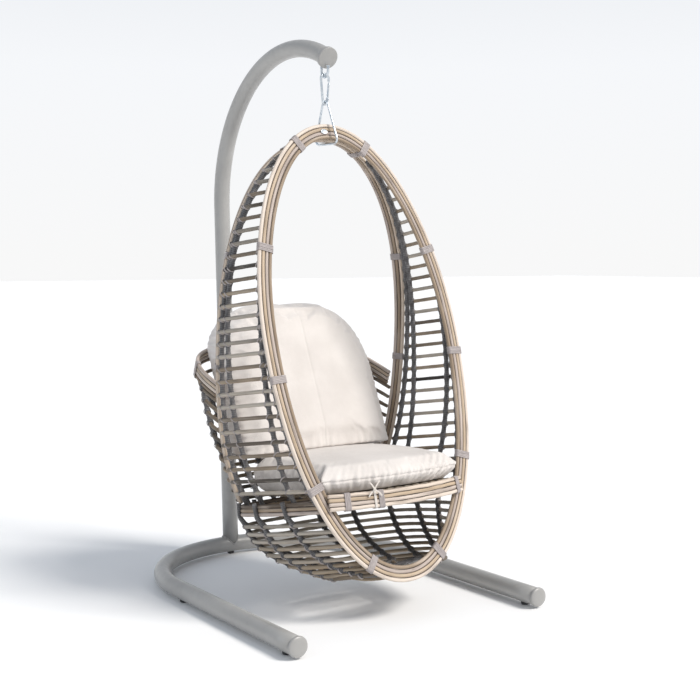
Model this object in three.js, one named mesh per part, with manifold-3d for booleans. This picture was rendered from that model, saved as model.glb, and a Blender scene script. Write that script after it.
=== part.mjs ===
// Hanging egg chair: a wicker basket with two cushions, hung by a steel ring and a snap hook
// from a bent tube stand. Millimetres, +Z up, the chair faces -Y, the post stands at +Y.
// The origin is on the floor, under the middle of the stand's plan box.
import * as THREE from 'three';
import { mergeVertices } from 'three/addons/utils/BufferGeometryUtils.js';
import Module from 'manifold-3d';

const wasm = await Module();
wasm.setup();

// ---- driving dimensions --------------------------------------------------------------

const GAP = 0.4;                     // clearance kept between touching pieces

// stand
const TUBE_R = 31.5;                 // the whole stand is one size of round tube
const FOOT_H = 8;                    // glide feet lift the tube off the floor
const LEG_X = 488.6;                 // leg centreline, each side, and the radius of the rear bend
const REACH = 591.2;                 // hook axis to the front end of a leg tube
const BAR_BACK = 714;                // hook axis to the rearmost point of the floor tube
const LEAN = 0.0395;                 // backward lean of the post, mm per mm of height
const POST_TOP = 1419;               // height at which the post starts to bend forward
const ARM_R = 536;                   // bend radius of the arm
const ARM_END_Y = -8;                // hook axis to the middle of the arm's end
const CAP_R = 34;                    // leg end caps
const CAP_L = 15;
const ARM_CAP_R = 38.5;              // disc that closes the arm
const ARM_CAP_L = 16;
const FOOT_R = 14;

// the basket's two hoops, on their centrelines; power is the roundness of the egg's ends
const FRONT = { half: 397.5, wide: 929.5, top: 1656, bottom: 162, topPower: 1.975, endPower: 2.055 };
const REAR = { half: 408, wide: 911, top: 1628, bottom: 157, topPower: 2.2, endPower: 2.3 };
const FRONT_TOP_Y = -21.5;           // the front hoop leans forward as it goes down
const FRONT_LEAN = 0.295;
const REAR_TOP_Y = 30;               // the rear hoop leans back, and meets the front one on top
const REAR_LEAN = 0.055;
const REAR_PULL = 21;
const REAR_SPLAY = Math.sin(THREE.MathUtils.degToRad(27));   // its band turns inward to the back
const REST_SWIVEL = 4;               // degrees that the basket is turned on its hook at rest
const FRONT_CANES = 4;
const REAR_CANES = 3;
const CANE_R = 7.4;                  // every cane of the frame bundles
const CANE_PITCH = 14;               // spacing of the canes in a bundle
const ROD_R = 7;                     // rungs and arcs of the woven walls, and their ribs
const RIB_R = 8;
const ROD_CLEAR = 7;                 // rungs stop this far from the hoops' canes
const BAND_CLEAR = 14;               // and the bands of canes that meet a hoop askew
const WIDE_BINDING = 26;             // lengths of the bindings along the canes
const NARROW_BINDING = 24;
const BINDING_ON_RAIL = 21;
const TIE_WIDTH = 9;

// seat level, back wall and bowl
const RAIL_Z = 423;                  // middle of the front rail
const RAIL_HALF = 290;               // half length of the front rail, and how far it bows forward
const RAIL_BOW = 48;
const RAIL_AHEAD = 16;               // the rail's ends lie on the face of the front hoop
const RING_Z = 405;                  // middle of the seat ring where it meets the front hoop
const RING_FALL = 0.175;             // the ring and the bowl fall toward the rear, mm per mm
const WALL_POWER = 3;                // squareness of the back wall in plan
const RIM_Z = 752;                   // where the back rim meets the rear hoop
const RIM_DEPTH = 342;               // how far the rim reaches behind the rear hoop
const RIM_RISE = 0.36;               // slope of the rim, mm per mm
const WALL_FOOT = 322;               // where the seat ring passes the rear hoop
const FOOT_DEPTH = 57;               // how far the wall's foot reaches behind the rear hoop
const BOWL = { top: 452, bottom: 132.5, half: 352, depth: 200, power: 2.93, plan: 2.3 };
const BOWL_Y = -40;                  // middle of the bowl at its top, and its run to the front
const BOWL_RUN = 500;
const BOWL_FIRST = 352;              // highest and lowest level of the bowl, at the front hoop
const BOWL_LAST = 174;
const BOWL_SAG = 16;                 // how far the bowl's floor hangs below its lowest level
const RUNG_PITCH = 40.6;             // side panel rungs, by height at the front hoop
const SIDE_TOP = 1530;
const SIDE_FOOT = 464;
const RUNG_FALL = 0.165;             // rungs fall toward the rear, less so higher up
const RUNG_FALL_HIGH = 0.12;
const RUNG_FALL_SPAN = 500;
const WALL_ARCS = 8;
const BOWL_LEVELS = 6;
const BOWL_RIBS = 5;                 // each runs down one side, under the bowl and up the other

// cushions
const CUSHION_BASE = 453;            // heights of the seat cushion's front edge
const CUSHION_TOP = 527;
const CUSHION_HALF = 300;            // the side panels bound it, and the front hoop its corners
const CUSHION_CORNER = 278;
const DECK_FALL = 0.13;              // the deck and the cushion's underside fall to the rear
const CUSHION_FALL = 0.03;           // and its top does so slightly
const DECK_THICK = 12;
const BACK_TOP = 1054;
const BACK_HALF = 345;
const BACK_WIDEST = 760;
const BACK_FRONT_Y = -28;            // front lower edge of the back cushion
const BACK_RECLINE = 0.4;
const BACK_PLAY = 22;                // space between the back cushion and the rods behind it

const BADGE_X = -27;                 // blank oval plate beside the hanging ring
const BADGE_Z = 1652;
const BADGE_HALF_W = 15;
const BADGE_HALF_H = 9;
const BADGE_THICK = 1.6;

// hanging hardware: wire radii, and heights of the wires' centrelines
const EYE_WIRE = 4.8;
const EYE_HALF = 21;
const EYE_Z = 1848.8;
const HOOK_WIRE = 4.5;
const HOOK_TOP = 1859.4;
const HOOK_BOTTOM = 1754;
const HOOK_TURN = 8;                 // degrees from the X axis to the snap hook's plane
const HOOK_TOP_R = 18;               // its wide upper bend and its narrow lower one
const HOOK_FOOT_R = 10;
const RING_WIRE = 4.2;
const RING_TOP = 1764;
const RING_BOTTOM = 1613;
const RING_HALF = 53;
const RING_TURN = 8;                 // degrees from the basket's Y axis, and its reach forward
const RING_FORWARD = 9;

// ---- materials -----------------------------------------------------------------------

const finish = (name, color, roughness, metalness) =>
  new THREE.MeshStandardMaterial({ name, color, roughness, metalness });

const paint = finish('painted_steel', 0xa9a59c, 0.5, 0.3);
const plastic = finish('dark_plastic', 0x35383c, 0.7, 0);
const steel = finish('zinc_steel', 0xb9bec4, 0.3, 0.9);
const cane = finish('cane', 0xc2ae94, 0.6, 0);
const wicker = finish('grey_wicker', 0x5b5a5c, 0.7, 0);
const lashing = finish('binding_strand', 0xa79f9e, 0.6, 0);
const fabric = finish('cushion_fabric', 0xe6ddd6, 0.95, 0);
const tape = finish('cotton_tape', 0xe9e1d8, 0.9, 0);

// ---- sweeping and joining ------------------------------------------------------------

const V = (x, y, z) => new THREE.Vector3(x, y, z);
const clamp = THREE.MathUtils.clamp;
const lerp = THREE.MathUtils.lerp;
const rad = THREE.MathUtils.degToRad;
const range = (n, f) => Array.from({ length: n }, (_, i) => f(i));

// Tangents along a list of points; a closed list runs round.
function tangents(points, closed) {
  const n = points.length;
  return points.map((p, i) => {
    const a = points[closed ? (i + n - 1) % n : Math.max(i - 1, 0)];
    const b = points[closed ? (i + 1) % n : Math.min(i + 1, n - 1)];
    return b.clone().sub(a).normalize();
  });
}

// Sweeps an outline along points. across[i] is the direction of the outline's first axis.
function sweep(points, across, outline, closed = false) {
  const n = points.length;
  const m = outline.length;
  const along = tangents(points, closed);
  const verts = [];
  points.forEach((p, i) => {
    const side = across[i].clone().addScaledVector(along[i], -across[i].dot(along[i])).normalize();
    const up = along[i].clone().cross(side);
    for (const [a, b] of outline) {
      const q = p.clone().addScaledVector(side, a).addScaledVector(up, b);
      verts.push(q.x, q.y, q.z);
    }
  });
  const faces = [];
  const rows = closed ? n : n - 1;
  for (let i = 0; i < rows; i++) {
    const next = (i + 1) % n;
    for (let j = 0; j < m; j++) {
      const k = (j + 1) % m;
      faces.push(i * m + j, i * m + k, next * m + k, i * m + j, next * m + k, next * m + j);
    }
  }
  if (!closed) {
    const flat = outline.map(([a, b]) => new THREE.Vector2(a, b));
    for (const [a, b, c] of THREE.ShapeUtils.triangulateShape(flat, [])) {
      const end = (n - 1) * m;
      faces.push(a, c, b, end + a, end + b, end + c);
    }
  }
  return outward(indexed(verts, faces));
}

function indexed(verts, faces) {
  const geometry = new THREE.BufferGeometry();
  geometry.setAttribute('position', new THREE.Float32BufferAttribute(verts, 3));
  geometry.setIndex(faces);
  return geometry;
}

// Turns a closed geometry's faces outward by the sign of its volume.
function outward(geometry) {
  const p = geometry.attributes.position;
  const index = geometry.index.array;
  const at = (i) => new THREE.Vector3().fromBufferAttribute(p, i);
  let volume = 0;
  for (let i = 0; i < index.length; i += 3) {
    volume += at(index[i]).dot(at(index[i + 1]).cross(at(index[i + 2])));
  }
  if (volume < 0) {
    for (let i = 0; i < index.length; i += 3) [index[i], index[i + 1]] = [index[i + 1], index[i]];
  }
  geometry.computeVertexNormals();
  return geometry;
}

const circle = (r, sides, turn = 0) =>
  range(sides, (i) => {
    const a = turn + (i * 2 * Math.PI) / sides;
    return [r * Math.cos(a), r * Math.sin(a)];
  });

// Outline of canes lying side by side, as one ribbed band.
function bundle(count) {
  const waist = CANE_R * 0.45;
  const half = ((count - 1) * CANE_PITCH) / 2;
  const top = [];
  for (let i = 0; i < count; i++) {
    const a = i * CANE_PITCH - half;
    if (i > 0) top.push([a - CANE_PITCH / 2, waist]);
    top.push([a, CANE_R]);
  }
  const below = top.map(([a, b]) => [a, -b]).reverse();
  return [[-half - CANE_R, 0], ...top, [half + CANE_R, 0], ...below].reverse();
}

// A round tube along a planar run of points; normal is the plane's normal.
const tube = (points, normal, r, sides, closed = false) =>
  sweep(points, points.map(() => normal), circle(r, sides), closed);

// A rod that may run in any direction: its outline is carried along without twisting.
function rod(points, r = ROD_R, sides = 4) {
  const along = tangents(points, false);
  const up = Math.abs(along[0].z) > 0.8 ? V(1, 0, 0) : V(0, 0, 1);
  let side = up.clone().cross(along[0]).normalize();
  const across = along.map((t) => {
    side = side.clone().addScaledVector(t, -side.dot(t)).normalize();
    return side;
  });
  return sweep(points, across, circle(r, sides, Math.PI / 4));
}

function lathe(profile, sides) {
  const points = profile.map(([x, y]) => new THREE.Vector2(x, y));
  return outward(welded(new THREE.LatheGeometry(points, sides)));
}

function welded(geometry) {
  const bare = geometry.clone();
  for (const name of Object.keys(bare.attributes)) {
    if (name !== 'position') bare.deleteAttribute(name);
  }
  return mergeVertices(bare, 1e-3);
}

function solid(geometry) {
  const g = welded(geometry);
  return new wasm.Manifold(new wasm.Mesh({
    numProp: 3,
    vertProperties: new Float32Array(g.attributes.position.array),
    triVerts: new Uint32Array(g.index.array),
  }));
}

function geometryOf(manifold) {
  const mesh = manifold.getMesh();
  const geometry = indexed(Array.from(mesh.vertProperties), Array.from(mesh.triVerts));
  geometry.computeVertexNormals();
  return geometry;
}

const union = (pieces) => geometryOf(pieces.map(solid).reduce((a, b) => a.add(b)));

// ---- scene graph ---------------------------------------------------------------------

// The plan box runs from the leg caps to the back of the leaning post.
const TUBE_Z = FOOT_H + TUBE_R;
const ARC_Y = BAR_BACK + LEAN * (POST_TOP - TUBE_Z) - ARM_R * Math.cos(Math.atan(LEAN));
const ARC_Z = POST_TOP + ARM_R * Math.sin(Math.atan(LEAN));
const BOX_FRONT = -(REACH + GAP + CAP_L);
const BOX_BACK = ARC_Y + ARM_R + TUBE_R;

const chair = new THREE.Group();
const stand = new THREE.Group();
stand.position.y = -(BOX_FRONT + BOX_BACK) / 2;          // the hook axis is the stand's own origin
const basket = new THREE.Group();
basket.rotation.z = rad(REST_SWIVEL);
stand.add(basket);
chair.add(stand);

function add(parent, name, geometry, material) {
  const mesh = new THREE.Mesh(geometry, material);
  mesh.name = name;
  parent.add(mesh);
  return mesh;
}

// ---- stand ---------------------------------------------------------------------------

function addStand() {
  const bendY = BAR_BACK - LEG_X;
  const onBend = (a) => V(-LEG_X * Math.cos(a), bendY + LEG_X * Math.sin(a), TUBE_Z);
  const bend = range(23, (i) => onBend((i * Math.PI) / 22));
  const barHere = bend.slice(9, 14);
  const path = [V(-LEG_X, -REACH, TUBE_Z), ...bend, V(LEG_X, -REACH, TUBE_Z)];
  add(stand, 'base_frame', tube(path, V(0, 0, 1), TUBE_R, 20), paint);

  // the post is coped over the floor tube that it is welded to
  const start = -Math.atan(LEAN);
  const end = Math.PI / 2 + Math.asin((ARC_Y - ARM_END_Y) / ARM_R);
  const onArm = (a) => V(0, ARC_Y + ARM_R * Math.cos(a), ARC_Z + ARM_R * Math.sin(a));
  const arm = range(21, (i) => onArm(lerp(start, end, i / 20)));
  const post = solid(tube([V(0, BAR_BACK, TUBE_Z), ...arm], V(1, 0, 0), TUBE_R, 20));
  const bar = solid(tube(barHere, V(0, 0, 1), TUBE_R + GAP, 20));
  const [above] = post.subtract(bar).decompose().sort((a, b) => b.volume() - a.volume());
  add(stand, 'post_arm', geometryOf(above), paint);

  const nose = arm[20].clone().sub(arm[19]).normalize();
  const disc = lathe([
    [0, 0], [ARM_CAP_R - 1.5, 0], [ARM_CAP_R, 1.5], [ARM_CAP_R, ARM_CAP_L - 2],
    [ARM_CAP_R - 2, ARM_CAP_L], [0, ARM_CAP_L + 0.5],
  ], 32);
  disc.applyQuaternion(new THREE.Quaternion().setFromUnitVectors(V(0, 1, 0), nose));
  const seat = arm[20].clone().addScaledVector(nose, GAP);
  disc.translate(seat.x, seat.y, seat.z);
  add(stand, 'arm_end_cap', disc, paint);

  for (const [side, x] of [['left', -LEG_X], ['right', LEG_X]]) {
    const cap = add(stand, `leg_cap_${side}`, lathe([
      [0, 0], [CAP_R, 0], [CAP_R, 6], [CAP_R - 2.5, 10], [CAP_R * 0.6, CAP_L - 1.5], [0, CAP_L],
    ], 24), paint);
    cap.rotation.x = Math.PI;
    cap.position.set(x, -REACH - GAP, TUBE_Z);
  }

  // glide feet: short plugs, saddle shaped where they meet the tube
  const feet = {
    foot_front_left: V(-LEG_X, -REACH + 60, 0),
    foot_rear_left: V(-LEG_X, bendY - 60, 0),
    foot_front_right: V(LEG_X, -REACH + 60, 0),
    foot_rear_right: V(LEG_X, bendY - 60, 0),
    foot_back: V(0, BAR_BACK, 0),
  };
  for (const [name, at] of Object.entries(feet)) {
    const plug = lathe([[0, 0], [FOOT_R, 0], [FOOT_R, FOOT_H + 6], [0, FOOT_H + 6]], 16);
    plug.rotateX(Math.PI / 2).translate(at.x, at.y, 0);
    const leg = [V(at.x, at.y - 30, TUBE_Z), V(at.x, at.y + 30, TUBE_Z)];
    const over = name === 'foot_back' ? barHere : leg;
    const under = solid(tube(over, V(0, 0, 1), TUBE_R + GAP, 20));
    add(stand, name, geometryOf(solid(plug).subtract(under)), plastic);
  }
  return [arm, disc];
}

// ---- hanging hardware ----------------------------------------------------------------

// Rounds the corners of a polygon [[a, b, radius], ...] with arcs.
function rounded(corners, each) {
  const n = corners.length;
  return corners.flatMap(([a, b, r], i) => {
    const here = new THREE.Vector2(a, b);
    const toward = (k) => new THREE.Vector2(corners[(k + n) % n][0], corners[(k + n) % n][1])
      .sub(here).normalize();
    const u = toward(i - 1);
    const v = toward(i + 1);
    const half = Math.acos(clamp(u.dot(v), -1, 1)) / 2;
    const middle = u.clone().add(v).normalize().multiplyScalar(r / Math.sin(half)).add(here);
    const first = here.clone().addScaledVector(u, r / Math.tan(half)).sub(middle);
    const last = here.clone().addScaledVector(v, r / Math.tan(half)).sub(middle);
    const turn = Math.atan2(first.cross(last), first.dot(last));
    return range(each, (k) => {
      const p = first.clone().rotateAround(new THREE.Vector2(), (turn * k) / (each - 1));
      return [middle.x + p.x, middle.y + p.y];
    });
  });
}

function addHardware(arm, disc) {
  // eye: a U of round bar in the arm's own plane, welded to the arm and to the disc
  const bow = range(9, (i) => {
    const a = Math.PI * (1 + i / 8);
    return V(0, EYE_HALF * Math.cos(a), EYE_Z + EYE_HALF + EYE_HALF * Math.sin(a));
  });
  const wire = [...bow];
  wire.unshift(bow[0].clone().setZ(ARC_Z + ARM_R));
  wire.push(bow[8].clone().setZ(ARC_Z + ARM_R));
  const [capBelow, cap] = [disc.clone().translate(0, 0, -GAP), disc].map(solid);
  const eye = solid(tube(wire, V(1, 0, 0), EYE_WIRE, 8))
    .subtract(solid(tube(arm.slice(-6), V(1, 0, 0), TUBE_R + GAP, 20)))
    .subtract(capBelow).subtract(cap);
  const [lowest] = eye.decompose()
    .sort((a, b) => a.boundingBox().min[2] - b.boundingBox().min[2]);
  add(stand, 'hanger_eye', geometryOf(lowest), steel);
  addSnapHook();

  // ring: a pear-shaped loop round the tops of both hoops
  const corners = [[0, RING_TOP + 24, 13], [RING_HALF - RING_FORWARD + 4, RING_BOTTOM, 15],
    [-RING_HALF - RING_FORWARD - 4, RING_BOTTOM, 15]];
  const outline = rounded(corners, 6);
  const over = Math.max(...outline.map(([, z]) => z)) - RING_TOP;
  const middle = (RING_TOP + RING_BOTTOM) / 2;
  const loop = outline.map(([y, z]) => V(0, y, z > middle ? z - over : z));
  const ring = tube(loop, V(1, 0, 0), RING_WIRE, 8, true).rotateZ(rad(RING_TURN));
  add(basket, 'hanger_ring', ring, steel);
}

// The snap hook: a wire hook whose gap is closed by a gate on a pin, low on one side.
function addSnapHook() {
  const hook = new THREE.Group();
  hook.rotation.z = rad(HOOK_TURN);
  stand.add(hook);
  const highC = HOOK_TOP - HOOK_TOP_R;
  const lowC = HOOK_BOTTOM + HOOK_FOOT_R;
  const hinge = V(HOOK_FOOT_R + 1.2, 0, lowC + 9);
  const noseZ = highC - 8;
  const arcs = (cx, cz, r, from, to, n) => range(n, (i) => {
    const a = lerp(from, to, i / (n - 1));
    return V(cx + r * Math.cos(a), 0, cz + r * Math.sin(a));
  });
  const path = [
    V(HOOK_TOP_R, 0, noseZ),
    ...arcs(0, highC, HOOK_TOP_R, 0, Math.PI, 9),
    ...arcs(0, lowC, HOOK_FOOT_R, Math.PI, 2 * Math.PI, 9),
    hinge.clone().add(V(0, 0, -1)),
  ];
  const across = V(0, 1, 0);
  const barY = (r, half, z0 = hinge.z) => {
    const g = lathe([[0, -half], [r, -half], [r, half], [0, half]], 16);
    return g.translate(hinge.x, 0, z0);
  };
  const box = (w, d, h, z) => new THREE.BoxGeometry(w, d, h).translate(hinge.x, 0, z);
  const TONGUE = 2;
  const PIN_R = 1.6;
  const body = solid(tube(path, across, HOOK_WIRE, 8))
    .add(solid(barY(5.8, HOOK_WIRE)))
    .subtract(solid(box(14, 2 * (TONGUE + GAP), 14, hinge.z + 1.8)))
    .subtract(solid(barY(PIN_R + GAP, 12)));
  add(hook, 'snap_hook_body', geometryOf(body), steel);

  const top = V(HOOK_TOP_R, 0, noseZ - 0.8);
  const foot = V(hinge.x + 0.4, 0, hinge.z + 8.2);
  const gate = solid(tube([foot, top], across, 3.6, 8))
    .add(solid(box(6.6, 2 * TONGUE, 9.5, hinge.z + 4.6)))
    .add(solid(barY(3.9, TONGUE)))
    .subtract(solid(barY(PIN_R + GAP, 12)));
  add(hook, 'snap_hook_gate', geometryOf(gate), steel);
  add(hook, 'snap_hook_pin', barY(PIN_R, HOOK_WIRE + 0.4), steel);
}

// ---- the basket's curves -------------------------------------------------------------

const power = (v, p) => Math.sign(v) * Math.abs(v) ** p;

// Half width of an egg-shaped hoop at a height.
function eggHalf(egg, z) {
  const up = z > egg.wide;
  const t = clamp(Math.abs(z - egg.wide) / (up ? egg.top - egg.wide : egg.wide - egg.bottom), 0, 1);
  const p = up ? egg.topPower : egg.endPower;
  return egg.half * (1 - t ** p) ** (1 / p);
}

const frontY = (z) => FRONT_TOP_Y - FRONT_LEAN * (FRONT.top - z);
const rearY = (z) => REAR_TOP_Y + REAR_LEAN * (REAR.top - z)
  - REAR_PULL * Math.exp((z - REAR.top) / 35);

// Points evenly spaced along a dense run.
function resample(points, count, closed = false) {
  const run = closed ? [...points, points[0]] : points;
  const length = [0];
  for (let i = 1; i < run.length; i++) length.push(length[i - 1] + run[i].distanceTo(run[i - 1]));
  const total = length[length.length - 1];
  return range(count, (i) => {
    const want = (total * i) / (closed ? count : count - 1);
    const k = Math.max(1, length.findIndex((l) => l >= want - 1e-6));
    const t = (want - length[k - 1]) / (length[k] - length[k - 1] || 1);
    return run[k - 1].clone().lerp(run[k], t);
  });
}

// The egg outline as a run of points from the lowest left, over the top, to the lowest right.
function egg(shape, yAt, from = -Math.PI / 2, to = 1.5 * Math.PI) {
  return range(361, (i) => {
    const a = lerp(to, from, i / 360);
    const s = Math.sin(a);
    const p = 2 / (s > 0 ? shape.topPower : shape.endPower);
    const height = s > 0 ? shape.top - shape.wide : shape.wide - shape.bottom;
    const z = shape.wide + height * power(s, p);
    return V(shape.half * power(Math.cos(a), p), yAt(z), z);
  });
}

const splay = (p) => {
  const s = (-REAR_SPLAY * p.x) / REAR.half;
  return V(s, Math.sqrt(1 - s * s), 0);
};
const bandHalf = (count) => ((count - 1) * CANE_PITCH) / 2 + CANE_R;
const backNormal = V(0, 1, -FRONT_LEAN).normalize();     // square to the front hoop's plane

const frontLoop = resample(egg(FRONT, frontY).slice(0, -1), 60, true);
const inward = tangents(frontLoop, true).map((t) => t.clone().cross(backNormal));
const rearEnd = Math.asin(((REAR.wide - WALL_FOOT - bandHalf(REAR_CANES) - ROD_CLEAR)
  / (REAR.wide - REAR.bottom)) ** (REAR.endPower / 2));
const rearArch = resample(egg(REAR, rearY, -rearEnd, Math.PI + rearEnd), 40);

// A binding: a strap of even thickness round a band of canes, at the middle of one straight.
function strap(points, across, index, count, width) {
  const a = points[index];
  const b = points[(index + 1) % points.length];
  const middle = a.clone().lerp(b, 0.5);
  const along = b.clone().sub(a).normalize();
  const side = across[index].clone().add(across[(index + 1) % across.length]);
  side.addScaledVector(along, -side.dot(along)).normalize();
  const up = along.clone().cross(side);
  const w = bandHalf(count) + 2.4;
  const h = CANE_R + 2.4;
  const c = 4;
  const outline = [[w, h - c], [w - c, h], [c - w, h], [-w, h - c],
    [-w, c - h], [c - w, -h], [w - c, -h], [w, c - h]];
  const path = outline.map(([p, q]) => middle.clone().addScaledVector(side, p)
    .addScaledVector(up, q));
  const thin = 0.8;
  const section = [[-width / 2, -thin], [width / 2, -thin], [width / 2, thin], [-width / 2, thin]];
  return sweep(path, path.map(() => along), section, true);
}

// The straight of a run that is nearest to a height, on one side (-1 left, 1 right).
function straightAt(points, side, z, closed) {
  let best = 0;
  let least = Infinity;
  const n = closed ? points.length : points.length - 1;
  for (let i = 0; i < n; i++) {
    const m = points[i].clone().lerp(points[(i + 1) % points.length], 0.5);
    const off = Math.abs(m.z - z);
    if (m.x * side > 0 && off < least) [best, least] = [i, off];
  }
  return best;
}

// ---- frame of the basket -------------------------------------------------------------

const RAIL_POINTS = 25;
const railY = (x) => frontY(RAIL_Z) - RAIL_AHEAD - RAIL_BOW * (1 - (x / RAIL_HALF) ** 2);

function addBasketFrame() {
  add(basket, 'front_hoop', sweep(frontLoop, inward, bundle(FRONT_CANES), true), cane);
  const rearAcross = rearArch.map(splay);
  add(basket, 'rear_hoop', sweep(rearArch, rearAcross, bundle(REAR_CANES)), cane);

  const rail = range(RAIL_POINTS, (i) => {
    const x = lerp(-RAIL_HALF, RAIL_HALF, i / (RAIL_POINTS - 1));
    return V(x, railY(x), RAIL_Z);
  });
  const railAcross = rail.map(() => V(0, FRONT_LEAN, 1).normalize());
  add(basket, 'front_rail', sweep(rail, railAcross, bundle(FRONT_CANES)), cane);
  const ring = bowlRing(RING_Z, 30);
  add(basket, 'seat_ring', sweep(ring, ring.map(() => V(0, 0, 1)), bundle(REAR_CANES)), cane);

  const rim = wallArc(RIM_Z, 25, BAND_CLEAR);
  const rimAcross = rim.map(() => V(0, -RIM_RISE, 1).normalize());
  add(basket, 'back_rim', sweep(rim, rimAcross, bundle(FRONT_CANES)), cane);

  const frontBindings = { left: [1588, 1222, 834, 490, 205], right: [1588, 1263, 849, 510, 225] };
  const rearBindings = { left: [1578, 1200, 824], right: [1578, 1248, 824] };
  for (const [name, side] of [['left', -1], ['right', 1]]) {
    frontBindings[name].forEach((z, i) => {
      const k = straightAt(frontLoop, side, z, true);
      const wrap = strap(frontLoop, inward, k, FRONT_CANES, WIDE_BINDING);
      add(basket, `front_binding_${name}_${i + 1}`, wrap, lashing);
    });
    rearBindings[name].forEach((z, i) => {
      const k = straightAt(rearArch, side, z, false);
      const wrap = strap(rearArch, rearAcross, k, REAR_CANES, NARROW_BINDING);
      add(basket, `rear_binding_${name}_${i + 1}`, wrap, lashing);
    });
    const k = side < 0 ? 3 : rim.length - 5;
    const wrap = strap(rim, rimAcross, k, FRONT_CANES, NARROW_BINDING);
    add(basket, `rim_binding_${name}`, wrap, lashing);
  }
  // straights of the rail that carry its bindings, and the one that the cushion is tied to
  const railBindings = { left: 2, middle: 7, right: 22 };
  const tiedAt = 6;
  for (const [name, k] of Object.entries(railBindings)) {
    const wrap = strap(rail, railAcross, k, FRONT_CANES, BINDING_ON_RAIL);
    add(basket, `rail_binding_${name}`, wrap, lashing);
  }
  add(basket, 'cushion_tie', strap(rail, railAcross, tiedAt, FRONT_CANES, TIE_WIDTH), tape);

  const oval = new THREE.EllipseCurve(0, 0, BADGE_HALF_W, BADGE_HALF_H, 0, 2 * Math.PI);
  const outline = new THREE.Shape(oval.getPoints(24).slice(1));
  const badge = new THREE.ExtrudeGeometry(outline, { depth: BADGE_THICK, bevelEnabled: false });
  const face = V(BADGE_X, frontY(BADGE_Z), BADGE_Z).addScaledVector(backNormal, -(CANE_R + GAP));
  badge.rotateX(Math.PI / 2 - Math.atan(FRONT_LEAN)).translate(face.x, face.y, face.z);
  add(basket, 'badge_plate', badge, steel);
}

// ---- woven walls ---------------------------------------------------------------------

// End of a rung on the back of the front hoop, and on the front edge of the rear hoop.
function onFrontHoop(z, side, clear = ROD_CLEAR) {
  const p = V(side * (eggHalf(FRONT, z) + 8), frontY(z), z);
  return p.addScaledVector(backNormal, CANE_R + clear);
}

function onRearHoop(z, side) {
  const p = V(side * eggHalf(REAR, z), rearY(z), z);
  return p.addScaledVector(splay(p), -(bandHalf(REAR_CANES) + ROD_CLEAR));
}

// A point of a side panel: z is its rung's height at the front hoop, t runs from rear to front.
function onSide(z, t, side) {
  const fall = lerp(RUNG_FALL, RUNG_FALL_HIGH, clamp((z - SIDE_FOOT) / RUNG_FALL_SPAN, 0, 1));
  const rear = onRearHoop(z - fall * (rearY(z) - frontY(z)), side);
  return rear.lerp(onFrontHoop(z, side), t);
}

function sideLattice(side) {
  const levels = Math.floor((SIDE_TOP - SIDE_FOOT) / RUNG_PITCH) + 1;
  const heights = range(levels, (i) => SIDE_FOOT + i * RUNG_PITCH);
  const between = (z, t) => onSide(z, t, side);
  const rungs = heights.map((z) => rod([between(z, 0), between(z, 1)]));
  // the ribs stand almost upright, so they part from the hoops as the hoops lean away
  const rearRib = (z) => 0.1 + 0.14 * clamp((1200 - z) / 720, 0, 1);
  const frontRib = (z) => 0.93 - 0.22 * clamp((1080 - z) / 600, 0, 1);
  const ribs = [rearRib, frontRib].map((at) => {
    const run = range(7, (i) => {
      const z = lerp(SIDE_FOOT - ROD_R - 2, heights[levels - 1] + ROD_R, i / 6);
      return between(z, at(z));
    });
    return rod(run, RIB_R, 3);
  });
  return union([...ribs, ...rungs]);
}

// One arc of the back wall, from the rear hoop round the back. It follows the seat ring's fall at
// the wall's foot, and rises toward the back further up.
function wallArc(z, count, clear = ROD_CLEAR) {
  const t = (z - WALL_FOOT) / (RIM_Z - WALL_FOOT);
  const depth = FOOT_DEPTH + (RIM_DEPTH - FOOT_DEPTH) * t ** 1.4;
  const rise = lerp(-RING_FALL, RIM_RISE, t ** 0.6);
  const edge = V(eggHalf(REAR, z), rearY(z), z);
  edge.addScaledVector(splay(edge), bandHalf(REAR_CANES) + clear);
  const run = range(121, (i) => {
    const a = Math.PI * (1 - i / 120);
    const back = (depth - (edge.y - rearY(z))) * power(Math.sin(a), 2 / WALL_POWER);
    return V(edge.x * power(Math.cos(a), 2 / WALL_POWER), edge.y + back, z + rise * back);
  });
  return resample(run, count);
}

function wallLattice() {
  const low = WALL_FOOT + bandHalf(REAR_CANES) + ROD_R + 2;
  const high = RIM_Z - bandHalf(FRONT_CANES) - ROD_R - 4;
  const heights = range(WALL_ARCS, (i) => lerp(low, high, i / (WALL_ARCS - 1)));
  const steps = 12;
  const arcs = heights.map((z) => wallArc(z, steps + 1));
  const ribs = range(5, (j) => arcs.map((arc) => arc[2 * (j + 1)]));
  return union([...ribs.map((r) => rod(r, RIB_R, 3)), ...arcs.map((a) => rod(a))]);
}

// A level of the bowl: from the front hoop round the back to the front hoop again. z is its
// height at the hoop, and it falls from there toward the rear.
function bowlRing(z, count) {
  const t = clamp((BOWL.top - z) / (BOWL.top - BOWL.bottom), 0, 1);
  const half = BOWL.half * (1 - t ** BOWL.power) ** (1 / BOWL.power);
  const midY = BOWL_Y - BOWL_RUN * t ** 3;
  const depth = BOWL.depth * Math.sqrt(1 - t ** 9);
  const end = onFrontHoop(z, 1, BAND_CLEAR);
  const reach = (midY - end.y) / Math.sqrt(1 - Math.min(end.x / half, 0.985) ** 2);
  const last = Math.asin((midY - end.y) / reach);
  const run = range(161, (i) => {
    const a = lerp(-last, Math.PI + last, i / 160);
    const x = Math.sin(a) > 0 ? half * power(Math.cos(a), 2 / BOWL.plan) : half * Math.cos(a);
    const y = Math.sin(a) > 0 ? depth * power(Math.sin(a), 2 / BOWL.plan) : reach * Math.sin(a);
    return V(-x, midY + y, z - RING_FALL * (midY + y - end.y));
  });
  return resample(run, count);
}

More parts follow.
